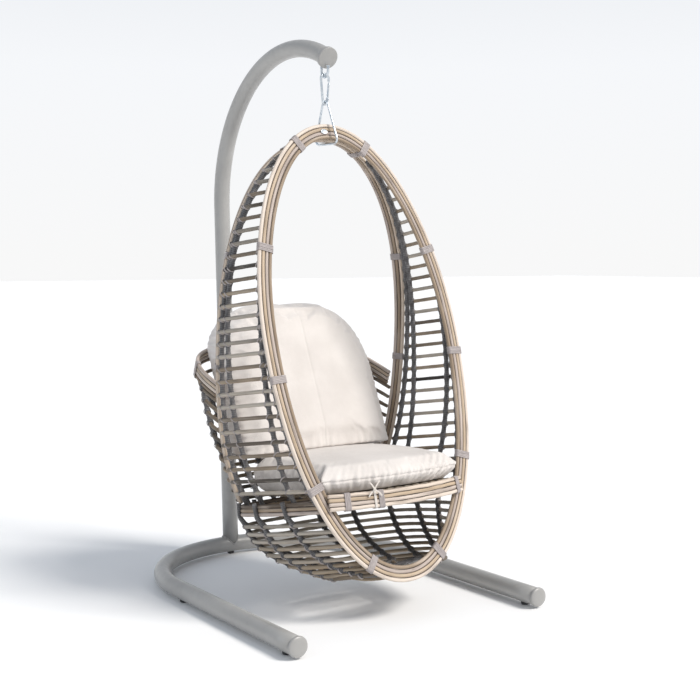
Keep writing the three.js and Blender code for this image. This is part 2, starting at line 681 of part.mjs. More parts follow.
// A run under the bowl from one point of its lowest level to another.
function underBowl(from, to) {
  return range(5, (i) => {
    const t = (i + 1) / 6;
    const p = from.clone().lerp(to, t);
    p.z -= BOWL_SAG * Math.sin(Math.PI * t);
    return p;
  });
}

function bowlLattice() {
  const levels = range(BOWL_LEVELS, (i) => {
    const t = i / (BOWL_LEVELS - 1);
    return lerp(BOWL_FIRST, BOWL_LAST, 1 - (1 - t) ** 1.35);
  });
  const steps = 2 * (2 * BOWL_RIBS + 1);
  const rings = levels.map((z) => bowlRing(z, steps + 1));
  const ribs = range(BOWL_RIBS, (j) => {
    const down = rings.map((ring) => ring[2 * (j + 1)]);
    const up = rings.map((ring) => ring[steps - 2 * (j + 1)]).reverse();
    return rod([...down, ...underBowl(down[BOWL_LEVELS - 1], up[0]), ...up], RIB_R, 3);
  });
  // three canes close the floor from front to back
  const lowest = rings[BOWL_LEVELS - 1];
  const keel = [-1, 0, 1].map((k) => {
    const back = lowest[steps / 2 + 3 * k];
    const front = V(k * 62, frontY(FRONT.bottom) + BAND_CLEAR, FRONT.bottom - 4);
    return rod([front, ...underBowl(front, back), back]);
  });
  return union([...ribs, ...keel, ...rings.map((r) => rod(r))]);
}

function addWalls() {
  add(basket, 'side_lattice_left', sideLattice(-1), wicker);
  add(basket, 'side_lattice_right', sideLattice(1), wicker);
  add(basket, 'back_lattice', wallLattice(), wicker);
  add(basket, 'bowl_lattice', bowlLattice(), wicker);
}

// ---- seat and cushions ---------------------------------------------------------------

// Plan of the seat: its front runs behind the rail, its back inside the ring by a margin, and it
// keeps within half on both sides and within corner at the front.
function seatPlan(margin, frontMargin, half, corner) {
  const front = range(9, (i) => {
    const x = lerp(-corner, corner, i / 8);
    return new THREE.Vector2(x, railY(x) + CANE_R + frontMargin);
  });
  const ring = bowlRing(RING_Z, 41);
  const across = tangents(ring, false).map((t) => V(-t.y, t.x, 0).normalize());
  const inner = ring.map((p, i) => p.clone().addScaledVector(across[i], -margin))
    .filter((p) => p.y > frontY(RAIL_Z) + 44)
    .map((p) => new THREE.Vector2(clamp(p.x, -half, half), p.y));
  return new THREE.Shape([...front, ...inner.reverse()]);
}

// Tilts a slab toward the rear, by a fall that goes from one at its base to another on its top.
function tilt(geometry, low, high, fallLow, fallHigh) {
  const p = geometry.attributes.position;
  const front = railY(0);
  for (let i = 0; i < p.count; i++) {
    const t = clamp((p.getZ(i) - low) / (high - low), 0, 1);
    p.setZ(i, p.getZ(i) - lerp(fallLow, fallHigh, t) * (p.getY(i) - front));
  }
  return geometry;
}

function addSeat() {
  const play = 14;
  const plan = seatPlan(CANE_R + 6, play, CUSHION_HALF - 8, CUSHION_CORNER - 8);
  const deck = new THREE.ExtrudeGeometry(plan, { depth: DECK_THICK, bevelEnabled: false });
  const deckTop = CUSHION_BASE - GAP;
  deck.translate(0, 0, deckTop - DECK_THICK);
  tilt(deck, deckTop - DECK_THICK, deckTop, DECK_FALL, DECK_FALL);
  add(basket, 'seat_deck', deck, wicker);

  const bevel = 18;
  const shape = seatPlan(CANE_R + 18 + bevel, play + bevel, CUSHION_HALF - bevel,
    CUSHION_CORNER - bevel);
  const pad = new THREE.ExtrudeGeometry(shape, {
    depth: CUSHION_TOP - CUSHION_BASE - 2 * bevel,
    bevelThickness: bevel,
    bevelSize: bevel,
    bevelSegments: 3,
  });
  pad.translate(0, 0, CUSHION_BASE + bevel);
  tilt(pad, CUSHION_BASE, CUSHION_TOP, DECK_FALL, CUSHION_FALL);
  add(basket, 'seat_cushion', pad, fabric);
  add(basket, 'back_cushion', backCushion(), fabric);
}

// Depth of the back wall's middle at a height, measured from the hook axis.
function wallBack(z) {
  const rise = z - RAIL_Z;
  return 195 + 0.36 * rise + 68 * (rise / 451) ** 2;
}

function backCushion() {
  const sides = 24;
  const levels = 12;
  const first = CUSHION_TOP - CUSHION_FALL * (BACK_FRONT_Y - railY(0)) + 1;
  const rimTop = RIM_Z + RIM_RISE * RIM_DEPTH;
  const behind = wallBack(rimTop) - BACK_FRONT_Y - BACK_RECLINE * (rimTop - first)
    - ROD_R - BACK_PLAY;
  const verts = [];
  for (let i = 0; i < levels; i++) {
    const z = lerp(first, BACK_TOP, Math.sin((i / (levels - 1)) * Math.PI * 0.5) ** 1.1);
    const t = clamp((z - BACK_WIDEST) / (BACK_TOP - BACK_WIDEST), 0, 0.995);
    const low = clamp((BACK_WIDEST - z) / (BACK_WIDEST - first), 0, 1);
    const half = BACK_HALF * (1 - t ** 2.6) ** (1 / 2.6) - 6 * low ** 2;
    const front = BACK_FRONT_Y + BACK_RECLINE * (z - first);
    const up = clamp((z - rimTop) / (BACK_TOP - rimTop), 0, 0.985);
    const room = wallBack(z) - ROD_R - BACK_PLAY - front;
    const thick = z < rimTop ? room : behind * Math.sqrt(1 - up * up);
    for (let j = 0; j < sides; j++) {
      const a = (j * 2 * Math.PI) / sides;
      const s = Math.sin(a);
      const y = front + 0.4 * thick + thick * (s > 0 ? 0.6 : 0.4) * power(s, s > 0 ? 0.9 : 0.6);
      verts.push(half * power(Math.cos(a), 0.6), y, z);
    }
  }
  const faces = [];
  for (let i = 0; i < levels - 1; i++) {
    for (let j = 0; j < sides; j++) {
      const k = (j + 1) % sides;
      const [a, b] = [i * sides, (i + 1) * sides];
      faces.push(a + j, a + k, b + k, a + j, b + k, b + j);
    }
  }
  for (let j = 1; j < sides - 1; j++) {
    const top = (levels - 1) * sides;
    faces.push(0, j + 1, j, top, top + j, top + j + 1);
  }
  return outward(indexed(verts, faces));
}

addHardware(...addStand());
addBasketFrame();
addWalls();
addSeat();

export default chair;
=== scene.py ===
"""Looks of the hanging egg chair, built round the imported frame.

Metres throughout. Basket pieces are made in the basket's own frame, turned about the hook axis.
"""

import math

import bmesh
import bpy
import numpy as np
from mathutils import Matrix, Vector


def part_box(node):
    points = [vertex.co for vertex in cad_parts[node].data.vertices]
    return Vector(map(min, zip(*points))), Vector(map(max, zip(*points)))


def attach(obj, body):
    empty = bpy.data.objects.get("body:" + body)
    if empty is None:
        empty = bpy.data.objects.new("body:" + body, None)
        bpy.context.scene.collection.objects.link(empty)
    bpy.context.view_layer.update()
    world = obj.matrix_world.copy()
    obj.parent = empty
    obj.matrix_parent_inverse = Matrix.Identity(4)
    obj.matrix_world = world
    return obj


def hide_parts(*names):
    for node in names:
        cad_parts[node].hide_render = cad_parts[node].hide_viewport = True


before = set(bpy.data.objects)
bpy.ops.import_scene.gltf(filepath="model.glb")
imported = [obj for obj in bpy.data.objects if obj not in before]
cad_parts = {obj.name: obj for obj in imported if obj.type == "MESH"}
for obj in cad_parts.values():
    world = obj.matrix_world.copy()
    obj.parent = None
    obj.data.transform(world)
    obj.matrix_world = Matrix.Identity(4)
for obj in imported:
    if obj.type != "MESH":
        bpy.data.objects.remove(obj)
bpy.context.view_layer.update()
RNG = np.random.default_rng(7)

# ---- places taken from the frame -----------------------------------------------------


def middle(node):
    low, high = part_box(node)
    return (low + high) / 2


HOOK_Y = middle("hanger_eye").y
EYE_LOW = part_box("hanger_eye")[0].z
HOOK_LOW, HOOK_HIGH = (v.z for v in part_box("snap_hook_body"))
RING_LOW, RING_HIGH = (v.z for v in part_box("hanger_ring"))
BASKET_TURN = math.radians(4)
BASKET = Matrix.Translation((0, HOOK_Y, 0)) @ Matrix.Rotation(BASKET_TURN, 4, "Z")
STAND = Matrix.Translation((0, HOOK_Y, 0))

# ---- driving dimensions; those of the solids repeat the part's source ----------------

GAP = 0.0004              # clearance between touching pieces
TUBE_R = 0.0315           # one size of tube for the whole stand
FOOT_H = 0.008            # glides lift the tube off the floor
LEG_X = 0.4886            # legs' half spacing, and the rear bend's radius
REACH = 0.5912            # hook axis to a leg's front end
BAR_BACK = 0.714          # hook axis to the rearmost point of the floor tube
LEAN = 0.0395             # backward lean of the post
POST_TOP = 1.419          # where the post starts to bend forward
ARM_R = 0.536             # the arm's bend
ARM_END_Y = -0.008        # hook axis to the middle of the arm's end
CAP_R = 0.034
CAP_L = 0.015
DISC_R = 0.0385
DISC_L = 0.016
TUBE_Z = FOOT_H + TUBE_R
ARC_Y = BAR_BACK + LEAN * (POST_TOP - TUBE_Z) - ARM_R * math.cos(math.atan(LEAN))
ARC_Z = POST_TOP + ARM_R * math.sin(math.atan(LEAN))

EYE_WIRE = 0.0048
EYE_HALF = 0.021
HOOK_WIRE = 0.0045
HOOK_TURN = math.radians(8)
HOOK_TOP_R = 0.018
HOOK_FOOT_R = 0.010
GATE_R = 0.0038
PIN_R = 0.0016
PIN_HEAD_R = 0.0026
RING_WIRE = 0.0042
RING_TURN = math.radians(8)

FRONT = dict(half=0.3975, wide=0.9295, top=1.656, bottom=0.162, top_power=1.975, end_power=2.055)
REAR = dict(half=0.408, wide=0.911, top=1.628, bottom=0.157, top_power=2.2, end_power=2.3)
FRONT_TOP_Y = -0.0215     # the front hoop leans forward as it goes down
FRONT_LEAN = 0.295
REAR_TOP_Y = 0.030        # the rear one leans back, and is pulled to the front one on top
REAR_LEAN = 0.055
REAR_PULL = 0.021
PULL_RUN = 0.035
REAR_SPLAY = math.sin(math.radians(27)) # its band turns inward to the back
SOLID_CANE_R = 0.0074     # a cane of the bundles in the solids
CANE_R = 0.0072           # half the depth that bindings go round
CANE_DRAWN = 0.0067       # and its radius as drawn, so that neighbours stay apart
GAP_SHADE_R = 0.0040           # dark strands between the canes: painted shade in the gaps
PITCH = 0.014             # spacing of the canes in a bundle
FRONT_CANES = 4
REAR_CANES = 3
BAND_CLEAR = 0.014        # bands of canes end this far from a hoop that they meet
SIDE_CLEAR = 0.008        # and the side panels' rungs this far
WALL_CLEAR = 0.004        # and the back wall's canes
FRONT_BINDINGS = 5
REAR_BINDINGS = 3
WIDE_BINDING = 0.026
NARROW_BINDING = 0.024
RAIL_BINDING = 0.021
TIE_WIDTH = 0.009

RAIL_Z = 0.423
RAIL_HALF = 0.290
RAIL_BOW = 0.048          # how far the rail bows forward
RAIL_AHEAD = 0.016        # its ends lie on the face of the front hoop
RING_Z = 0.405
RING_FALL = 0.175         # the seat ring and the bowl fall toward the rear
WALL_POWER = 3            # squareness of the back wall in plan
WALL_FOOT = 0.322         # where the seat ring passes the rear hoop
FOOT_DEPTH = 0.057        # how far the wall's foot reaches behind it
RIM_Z = 0.752
RIM_DEPTH = 0.342         # and the rim
RIM_RISE = 0.36           # slope of the rim
BOWL = dict(top=0.452, bottom=0.1325, half=0.352, depth=0.200, power=2.93, plan=2.3)
BOWL_Y = -0.040           # the bowl's middle at its top, and its run to the front
BOWL_RUN = 0.500
BOWL_FIRST = 0.352        # highest and lowest level of the bowl, at the front hoop
BOWL_LAST = 0.174
BOWL_SAG = 0.016          # how far its floor hangs below its lowest level
RUNG_PITCH = 0.0406       # side rungs, by height at the front hoop
RUNG_FALL = 0.165         # they fall toward the rear, less so higher up
RUNG_FALL_HIGH = 0.12
FALL_SPAN = 0.5           # height over which that changes
SIDE_FOOT = 0.464
SIDE_TOP = 1.60           # higher than in the solids
ROD_R = 0.0068            # canes of the woven walls
RIB_R = 0.0084            # wound ribs that cross them
LASH_R = 0.0108           # turns of strand round a crossing
WALL_CANES = 11
WALL_RIBS = 9
BOWL_CANES = 10
BOWL_RIBS = 5             # each runs down one side, under the bowl and up the other
KEEL_CANES = 5            # from the front hoop's foot to the rear, under the bowl

CUSHION_BASE = 0.453      # heights of the seat cushion's front edge
CUSHION_TOP = 0.527
CUSHION_HALF = 0.300
CUSHION_CORNER = 0.278
DECK_FALL = 0.13          # the deck and the underside fall to the rear
CUSHION_FALL = 0.03       # and the top does so slightly
BACK_TOP = 1.054
BACK_HALF = 0.345
BACK_WIDEST = 0.760
BACK_FRONT_Y = -0.028     # front lower edge of the back cushion
BACK_RECLINE = 0.40

# ---- small helpers -------------------------------------------------------------------


def lerp(a, b, t):
    return a + (b - a) * t


def power(v, p):
    return np.sign(v) * np.abs(v) ** p


def unit(v):
    return v / np.maximum(np.linalg.norm(v, axis=-1, keepdims=True), 1e-12)


def P(*xyz):
    return np.array(xyz, float)


def steps(points):
    return np.linalg.norm(np.diff(points, axis=0), axis=1)


def resample(points, count, closed=False):
    """Evenly spaced points along a run."""
    run = np.vstack([points, points[:1]]) if closed else points
    length = np.r_[0, np.cumsum(steps(run))]
    want = np.linspace(0, length[-1], count + (1 if closed else 0))[:count]
    return np.stack([np.interp(want, length, run[:, k]) for k in range(3)], 1)


def tangents(points, closed=False):
    if closed:
        return unit(np.roll(points, -1, 0) - np.roll(points, 1, 0))
    return unit(np.gradient(points, axis=0))


def carried(points, hint=(0, 0, 1), closed=False):
    """Across directions that follow a run without twisting."""
    along = tangents(points, closed)
    side = np.cross(np.array(hint, float), along[0])
    if np.linalg.norm(side) < 0.2:
        side = np.cross(np.array((1.0, 0.2, 0)), along[0])
    out = np.zeros_like(points)
    for i, t in enumerate(along):
        side = side - t * side.dot(t)
        side = side / np.linalg.norm(side)
        out[i] = side
    return out


def round_angles(count):
    return np.linspace(0, 2 * math.pi, count + 1)[:-1]


def circle(radius, sides):
    a = np.arange(sides) * 2 * math.pi / sides
    return np.stack([np.cos(a), np.sin(a)], 1) * radius


def ribbon(width, thick):
    """Outline of a flat strand with soft edges."""
    w, h = width / 2, thick / 2
    return np.array([[w, 0], [w * 0.8, h], [0, h * 1.25], [-w * 0.8, h],
                     [-w, 0], [-w * 0.8, -h], [0, -h * 1.25], [w * 0.8, -h]])


def smooth(mesh):
    mesh.polygons.foreach_set("use_smooth", [True] * len(mesh.polygons))


class Strands:
    """Gathers swept strands into one mesh. Each point keeps its strand's tone and its own grain:
    the length run so far, and where it lies round the strand."""

    def __init__(self):
        self.verts, self.faces, self.tone, self.grain = [], [], [], []
        self.count = 0

    def add(self, points, across, outline, tone=0.5, closed=False, swell=None):
        """Sweeps an outline along points; across holds its width, one way or one for each point."""
        n, m = len(points), len(outline)
        along = tangents(points, closed)
        side = unit(across - along * np.sum(across * along, 1, keepdims=True))
        up = np.cross(along, side)
        scale = np.ones(n) if swell is None else swell
        shape = outline[None] * scale[:, None, None]
        verts = points[:, None] + side[:, None] * shape[..., :1] + up[:, None] * shape[..., 1:]
        grain = np.zeros((n, m, 3))
        grain[..., 0] = np.r_[0, np.cumsum(steps(points))][:, None]
        grain[..., 1:] = unit(outline)
        i = np.arange(n if closed else n - 1)[:, None]
        j = np.arange(m)[None]
        k, nxt = (j + 1) % m, (i + 1) % n
        quads = np.stack([i * m + j, i * m + k, nxt * m + k, nxt * m + j], -1).reshape(-1, 4)
        self.faces += (quads + self.count).tolist()
        if not closed:
            self.faces.append([self.count + q for q in range(m - 1, -1, -1)])
            self.faces.append([self.count + (n - 1) * m + q for q in range(m)])
        self.verts.append(verts.reshape(-1, 3))
        self.grain.append(grain.reshape(-1, 3))
        self.tone.append(np.full(n * m, tone))
        self.count += n * m

    def mesh(self, name):
        mesh = bpy.data.meshes.new(name)
        mesh.from_pydata(np.vstack(self.verts).tolist(), [], self.faces)
        tone = mesh.attributes.new("tone", "FLOAT", "POINT")
        tone.data.foreach_set("value", np.concatenate(self.tone).astype(np.float32))
        grain = mesh.attributes.new("grain", "FLOAT_VECTOR", "POINT")
        grain.data.foreach_set("vector", np.vstack(self.grain).astype(np.float32).ravel())
        smooth(mesh)
        mesh.update()
        return mesh


def outward(mesh):
    """Points all faces out."""
    bm = bmesh.new()
    bm.from_mesh(mesh)
    bmesh.ops.recalc_face_normals(bm, faces=bm.faces)
    bm.to_mesh(mesh)
    bm.free()


def add_object(name, data):
    obj = bpy.data.objects.new(name, data)
    bpy.context.scene.collection.objects.link(obj)
    return obj


def piece(name, mesh, body, look, nodes=(), place=BASKET):
    """Adds a mesh as a piece of the looks in the material of look; the slot that look also holds is not
    used.
    """
    slot, material = look
    obj = add_object(name, mesh)
    obj.matrix_world = place
    outward(mesh)
    mesh.materials.clear()
    mesh.materials.append(material)
    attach(obj, body)
    if nodes:
        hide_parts(*nodes)
    return obj


def basket_piece(name, strands, look, *nodes):
    piece(name, strands.mesh(name), "basket", look, nodes)


def rounded(corners, radius, count):
    """Rounds the inner corners of a turned profile."""
    out = [corners[0]]
    for a, b, c in zip(corners, corners[1:], corners[2:]):
        a, b, c = (np.array(p, float) for p in (a, b, c))
        u, v = unit(a - b), unit(c - b)
        r = min(radius, np.linalg.norm(a - b) * 0.45, np.linalg.norm(c - b) * 0.45)
        for t in np.linspace(0, 1, count):
            out.append(tuple((1 - t) ** 2 * (b + u * r) + 2 * t * (1 - t) * b + t * t * (b + v * r)))
    return out + [corners[-1]]


def lathe(corners, radius, sides=64, count=4):
    """A solid turned about the Z axis from corners (radius, height), which are rounded."""
    a = np.arange(sides) * 2 * math.pi / sides
    verts, faces, rows = [], [], []
    for r, z in np.array(rounded(corners, radius, count), float):
        if r < 1e-9:
            rows.append([len(verts)])
            verts.append((0, 0, z))
        else:
            rows.append(list(range(len(verts), len(verts) + sides)))
            verts += [(r * c, r * s, z) for c, s in zip(np.cos(a), np.sin(a))]
    for low, high in zip(rows, rows[1:]):
        for j in range(sides):
            k = (j + 1) % sides
            if len(low) == 1:
                faces.append([low[0], high[j], high[k]])
            elif len(high) == 1:
                faces.append([low[j], low[k], high[0]])
            else:
                faces.append([low[j], low[k], high[k], high[j]])
    mesh = bpy.data.meshes.new("turned")
    mesh.from_pydata(verts, [], faces)
    smooth(mesh)
    return mesh


# ---- materials -----------------------------------------------------------------------


def set_stops(node, stops):
    ramp = node.color_ramp
    while len(ramp.elements) < len(stops):
        ramp.elements.new(0.5)
    for element, (at, colour) in zip(ramp.elements, stops):
        element.position = at
        element.color = (*colour, 1)


def blend(a, b, t):
    return tuple(lerp(x, y, t) for x, y in zip(a, b))


class Look:
    """A node material on a Principled shader, with short calls for the nodes it uses."""

    def __init__(self, name, roughness=0.5, metallic=0.0, **inputs):
        self.material = bpy.data.materials.new(name)
        self.material.use_nodes = True
        self.nodes = self.material.node_tree.nodes
        self.shader = self.nodes["Principled BSDF"]
        self.shader.inputs["Roughness"].default_value = roughness
        self.shader.inputs["Metallic"].default_value = metallic
        for key, value in inputs.items():
            self.shader.inputs[key.replace("_", " ")].default_value = value

    def node(self, kind, **values):
        node = self.nodes.new(kind)
        for key, value in values.items():
            setattr(node, key, value)
        return node

    def link(self, value, socket):
        """Feeds a socket from another one, or with a number or colour; None leaves it alone."""
        if isinstance(value, bpy.types.NodeSocket):
            self.material.node_tree.links.new(value, socket)
        elif value is not None:
            socket.default_value = (*value, 1) if isinstance(value, tuple) else value

    def place(self):
        return self.node("ShaderNodeTexCoord").outputs["Object"]

    def strand(self, spread):
        """A strand's grain and tone, and an offset that tells its noise from its neighbours'."""
        grain, tone = (self.node("ShaderNodeAttribute", attribute_name=n) for n in ("grain", "tone"))
        tone = tone.outputs["Fac"]
        return grain.outputs["Vector"], tone, self.math("MULTIPLY", tone, spread)

    def parts(self, vector):
        node = self.node("ShaderNodeSeparateXYZ")
        self.link(vector, node.inputs[0])
        return node.outputs

    def math(self, operation, *values):
        node = self.node("ShaderNodeMath", operation=operation)
        for value, socket in zip(values, node.inputs):
            self.link(value, socket)
        return node.outputs[0]

    def scaled(self, vector, factors):
        node = self.node("ShaderNodeVectorMath", operation="MULTIPLY")
        self.link(vector, node.inputs[0])
        node.inputs[1].default_value = factors
        return node.outputs[0]

    def noise(self, vector, scale, detail, w=None, roughness=0.55):
        """Noise at one scale, or stretched by three."""
        if isinstance(scale, tuple):
            vector, scale = self.scaled(vector, scale), 1.0
        node = self.node("ShaderNodeTexNoise", noise_dimensions="3D" if w is None else "4D")
        self.link(vector, node.inputs["Vector"])
        if w is not None:
            self.link(w, node.inputs["W"])
        node.inputs["Scale"].default_value = scale
        node.inputs["Detail"].default_value = detail
        node.inputs["Roughness"].default_value = roughness
        return node.outputs["Fac"]

    def ramp(self, factor, *stops):
        node = self.node("ShaderNodeValToRGB")
        node.color_ramp.interpolation = "EASE"
        set_stops(node, stops)
        self.link(factor, node.inputs["Fac"])
        return node.outputs["Color"]

    def mix(self, factor, a, b):
        node = self.node("ShaderNodeMix", data_type="RGBA", blend_type="MIX")
        for value, socket in ((factor, node.inputs["Factor"]), (a, node.inputs[6]), (b, node.inputs[7])):
            self.link(value, socket)
        return node.outputs[2]

    def band(self, value, low, high, to_low=0.0, to_high=1.0):
        node = self.node("ShaderNodeMapRange", clamp=True)
        for number, socket in zip((value, low, high, to_low, to_high), node.inputs):
            self.link(number, socket)
        return node.outputs[0]

    def bump(self, height, distance, strength, below=None):
        node = self.node("ShaderNodeBump")
        node.inputs["Strength"].default_value = strength
        node.inputs["Distance"].default_value = distance
        self.link(height, node.inputs["Height"])
        self.link(below, node.inputs["Normal"])
        return node.outputs["Normal"]

    def finish(self, colour, roughness=None, normal=None):
        self.link(colour, self.shader.inputs["Base Color"])
        self.link(roughness, self.shader.inputs["Roughness"])
        self.link(normal, self.shader.inputs["Normal"])
        return self.material


def painted_steel():
    """Satin paint with a faint orange peel and a little grime."""
    look = Look("painted_steel", 0.4, 0.15, Coat_Weight=0.25, Coat_Roughness=0.25)
    where = look.place()
    cloud = look.noise(where, 5.0, 4.0)
    grime = look.noise(where, 38.0, 5.0)
    base = look.ramp(cloud, (0.3, (0.330, 0.325, 0.316)), (0.7, (0.375, 0.370, 0.358)))
    worn = look.mix(look.band(grime, 0.55, 0.8, 0, 0.25), base, (0.27, 0.268, 0.262))
    peel = look.noise(where, 650.0, 2.0)
    rough = look.band(grime, 0.3, 0.75, 0.34, 0.5)
    return look.finish(worn, rough, look.bump(peel, 0.0003, 0.35))


def zinc_steel():
    """Bright plated wire, scratched along its length."""
    look = Look("zinc_steel", 0.28, 0.92)
    where = look.place()
    cloud = look.noise(where, 60.0, 4.0)
    colour = look.ramp(cloud, (0.3, (0.50, 0.56, 0.62)), (0.72, (0.72, 0.76, 0.79)))
    scratch = look.noise(where, (900, 900, 60), 2.0)
    rough = look.band(scratch, 0.3, 0.7, 0.2, 0.42)
    return look.finish(colour, rough, look.bump(scratch, 0.0001, 0.3))


def dark_plastic():
    look = Look("dark_plastic", 0.6)
    speck = look.noise(look.place(), 500.0, 3.0)
    colour = look.ramp(speck, (0.3, (0.028, 0.029, 0.031)), (0.7, (0.05, 0.051, 0.054)))
    return look.finish(colour, look.band(speck, 0.3, 0.7, 0.5, 0.72), look.bump(speck, 0.0002, 0.4))


def cane_look(name, light, mid, warm, dark):
    """Round synthetic cane: each strand has a tone, blotches along it and fine lengthwise streaks."""
    look = Look(name, 0.5, Specular_IOR_Level=0.4)
    grain, tone, offset = look.strand(37.0)
    blotch = look.noise(grain, (7.0, 0.55, 0.55), 4.0, offset)
    streaks = look.noise(grain, (9.0, 5.0, 5.0), 5.0, offset, 0.7)
    # tone 1.0 gives the blackest colour, that of the strands in a bundle's gaps, which are painted shade;
    # canes with tones near it are dark at random
    black = tuple(c * 0.3 for c in dark)
    base = look.ramp(tone, (0.0, mid), (0.3, light), (0.6, warm), (0.85, blend(warm, dark, 0.55)),
                     (1.0, black))
    shaded = look.mix(look.band(blotch, 0.52, 0.72, 0, 0.55), base, dark)
    lifted = look.mix(look.band(blotch, 0.46, 0.3, 0, 0.5), shaded, light)
    fine = look.mix(look.band(streaks, 0.52, 0.66, 0, 0.5), lifted, dark)
    height = look.noise(grain, (14.0, 9.0, 9.0), 3.0, offset)
    rough = look.band(streaks, 0.35, 0.7, 0.42, 0.62)
    return look.finish(fine, rough, look.bump(height, 0.0006, 0.55))


def wrapped_look(name, light, dark, turns=150.0):
    """Core wound with strand: a helix of flat turns, so many to the metre, with dark seams between."""
    look = Look(name, 0.42, Specular_IOR_Level=0.5)
    grain, _, offset = look.strand(53.0)
    run, across, up = look.parts(grain)
    angle = look.math("ARCTAN2", up, across)
    wound = look.math("MULTIPLY_ADD", run, turns, look.math("DIVIDE", angle, 2 * math.pi))
    edge = look.math("ABSOLUTE", look.math("SUBTRACT", look.math("FRACT", wound), 0.5))
    seam = look.band(edge, 0.36, 0.5)
    cloud = look.noise(grain, (45.0, 0.8, 0.8), 3.0, offset)
    base = look.ramp(cloud, (0.32, dark), (0.52, blend(dark, light, 0.4)), (0.74, light))
    colour = look.mix(seam, base, tuple(c * 0.25 for c in dark))
    rough = look.band(cloud, 0.3, 0.7, 0.35, 0.55)
    return look.finish(colour, rough, look.bump(look.math("SUBTRACT", 1.0, seam), 0.0008, 0.8))


def lashing_look(name, light, dark):
    """Flat strand with fine lengthwise ridges."""
    look = Look(name, 0.42, Specular_IOR_Level=0.5)
    grain, _, offset = look.strand(71.0)
    cloud = look.noise(grain, (60.0, 1.2, 1.2), 4.0, offset)
    ridge = look.noise(grain, (6.0, 9.0, 9.0), 2.0, offset)
    base = look.ramp(cloud, (0.3, dark), (0.7, light))
    colour = look.mix(look.band(ridge, 0.5, 0.65, 0, 0.35), base, dark)
    return look.finish(colour, look.band(cloud, 0.3, 0.7, 0.36, 0.5), look.bump(ridge, 0.0004, 0.5))


def fabric_look(name, light, shade, thread=0.0016):
    """Plain woven cover: over-and-under threads, slubs, and soft large creases."""
    look = Look(name, 0.9, Sheen_Weight=0.25, Sheen_Roughness=0.5, Specular_IOR_Level=0.2)
    where = look.place()
    waves = [look.math("SINE", out) for out in look.parts(look.scaled(where, (2 * math.pi / thread,) * 3))]
    # the waves across the way that the face looks make the weave there
    facings = look.parts(look.node("ShaderNodeNewGeometry").outputs["Normal"])
    weave = None
    for facing, (a, b) in zip(facings, ((1, 2), (0, 2), (0, 1))):
        crossed = look.math("MULTIPLY", waves[a], waves[b])
        term = look.math("MULTIPLY", look.math("ABSOLUTE", facing), crossed)
        weave = term if weave is None else look.math("ADD", weave, term)
    slub = look.noise(where, (60.0, 60.0, 420.0), 3.0)
    cloud = look.noise(where, 6.0, 4.0)
    base = look.ramp(cloud, (0.3, shade), (0.7, light))
    threads = look.mix(look.band(weave, -0.2, -0.9, 0, 0.22), base, tuple(c * 0.7 for c in shade))
    colour = look.mix(look.band(slub, 0.58, 0.75, 0, 0.25), threads, shade)
    crease = look.noise(where, (13.0, 13.0, 9.0), 3.0)
    return look.finish(colour, None, look.bump(weave, 0.0003, 0.45, look.bump(crease, 0.006, 0.35)))


def floor_look():
    look = Look("pale_floor", 0.85)
    cloud = look.noise(look.place(), 1.5, 3.0)
    return look.finish(look.ramp(cloud, (0.3, (0.915, 0.92, 0.925)), (0.7, (0.93, 0.932, 0.935))))


# each look is a slot and the material in it
PAINT = "painted_steel", painted_steel()
ZINC = "zinc_steel", zinc_steel()
PLASTIC = "dark_plastic", dark_plastic()
CANE = "cane", cane_look("cane", light=(0.70, 0.61, 0.53), mid=(0.45, 0.38, 0.34),
                         warm=(0.50, 0.39, 0.275), dark=(0.12, 0.083, 0.06))
RUNG = "wicker", cane_look("rung_cane", light=(0.44, 0.395, 0.335), mid=(0.27, 0.24, 0.20),
                           warm=(0.32, 0.25, 0.175), dark=(0.055, 0.045, 0.037))
WRAP = "wicker", wrapped_look("wrapped_strand", (0.215, 0.21, 0.215), (0.055, 0.052, 0.053))
LASH = "binding_strand", lashing_look("binding_strand", (0.44, 0.395, 0.385), (0.27, 0.24, 0.235))
FABRIC = "cushion_fabric", fabric_look("cushion_fabric", (0.745, 0.705, 0.675), (0.665, 0.625, 0.595))
TAPE = "cotton_tape", fabric_look("cotton_tape", (0.74, 0.70, 0.65), (0.62, 0.575, 0.53), 0.0011)

# ---- stand ---------------------------------------------------------------------------


def tube(name, path, hint, node):
    strands = Strands()
    strands.add(path, carried(path, hint), circle(TUBE_R, 48))
    piece(name, strands.mesh(name), "stand", PAINT, [node], STAND)


def leg_path():
    count = 73
    a = np.linspace(0, math.pi, count)
    bend = np.stack([-LEG_X * np.cos(a), BAR_BACK - LEG_X + LEG_X * np.sin(a), np.full(count, TUBE_Z)], 1)
    leg = np.linspace(0, 1, 9)[:-1, None]
    left = lerp(P(-LEG_X, -REACH, TUBE_Z), bend[0], leg)
    right = lerp(P(LEG_X, -REACH, TUBE_Z), bend[-1], leg)
    return np.vstack([left, bend, right[::-1]])


def arm_path():
    count = 65
    end = math.pi / 2 + math.asin((ARC_Y - ARM_END_Y) / ARM_R)
    a = np.linspace(-math.atan(LEAN), end, count)
    bend = np.stack([np.zeros(count), ARC_Y + ARM_R * np.cos(a), ARC_Z + ARM_R * np.sin(a)], 1)
    straight = lerp(P(0, BAR_BACK, TUBE_Z), bend[0], np.linspace(0, 1, 12)[:-1, None])
    return np.vstack([straight, bend])


def bead(strands, path, radius):
    """A closed weld bead with small ripples along it."""
    n = len(path)
    swell = 1 + 0.22 * np.sin(np.arange(n) * 2.1) + 0.1 * RNG.standard_normal(n)
    strands.add(path, carried(path, (0, 0, 1), True), circle(radius, 8), closed=True, swell=swell)


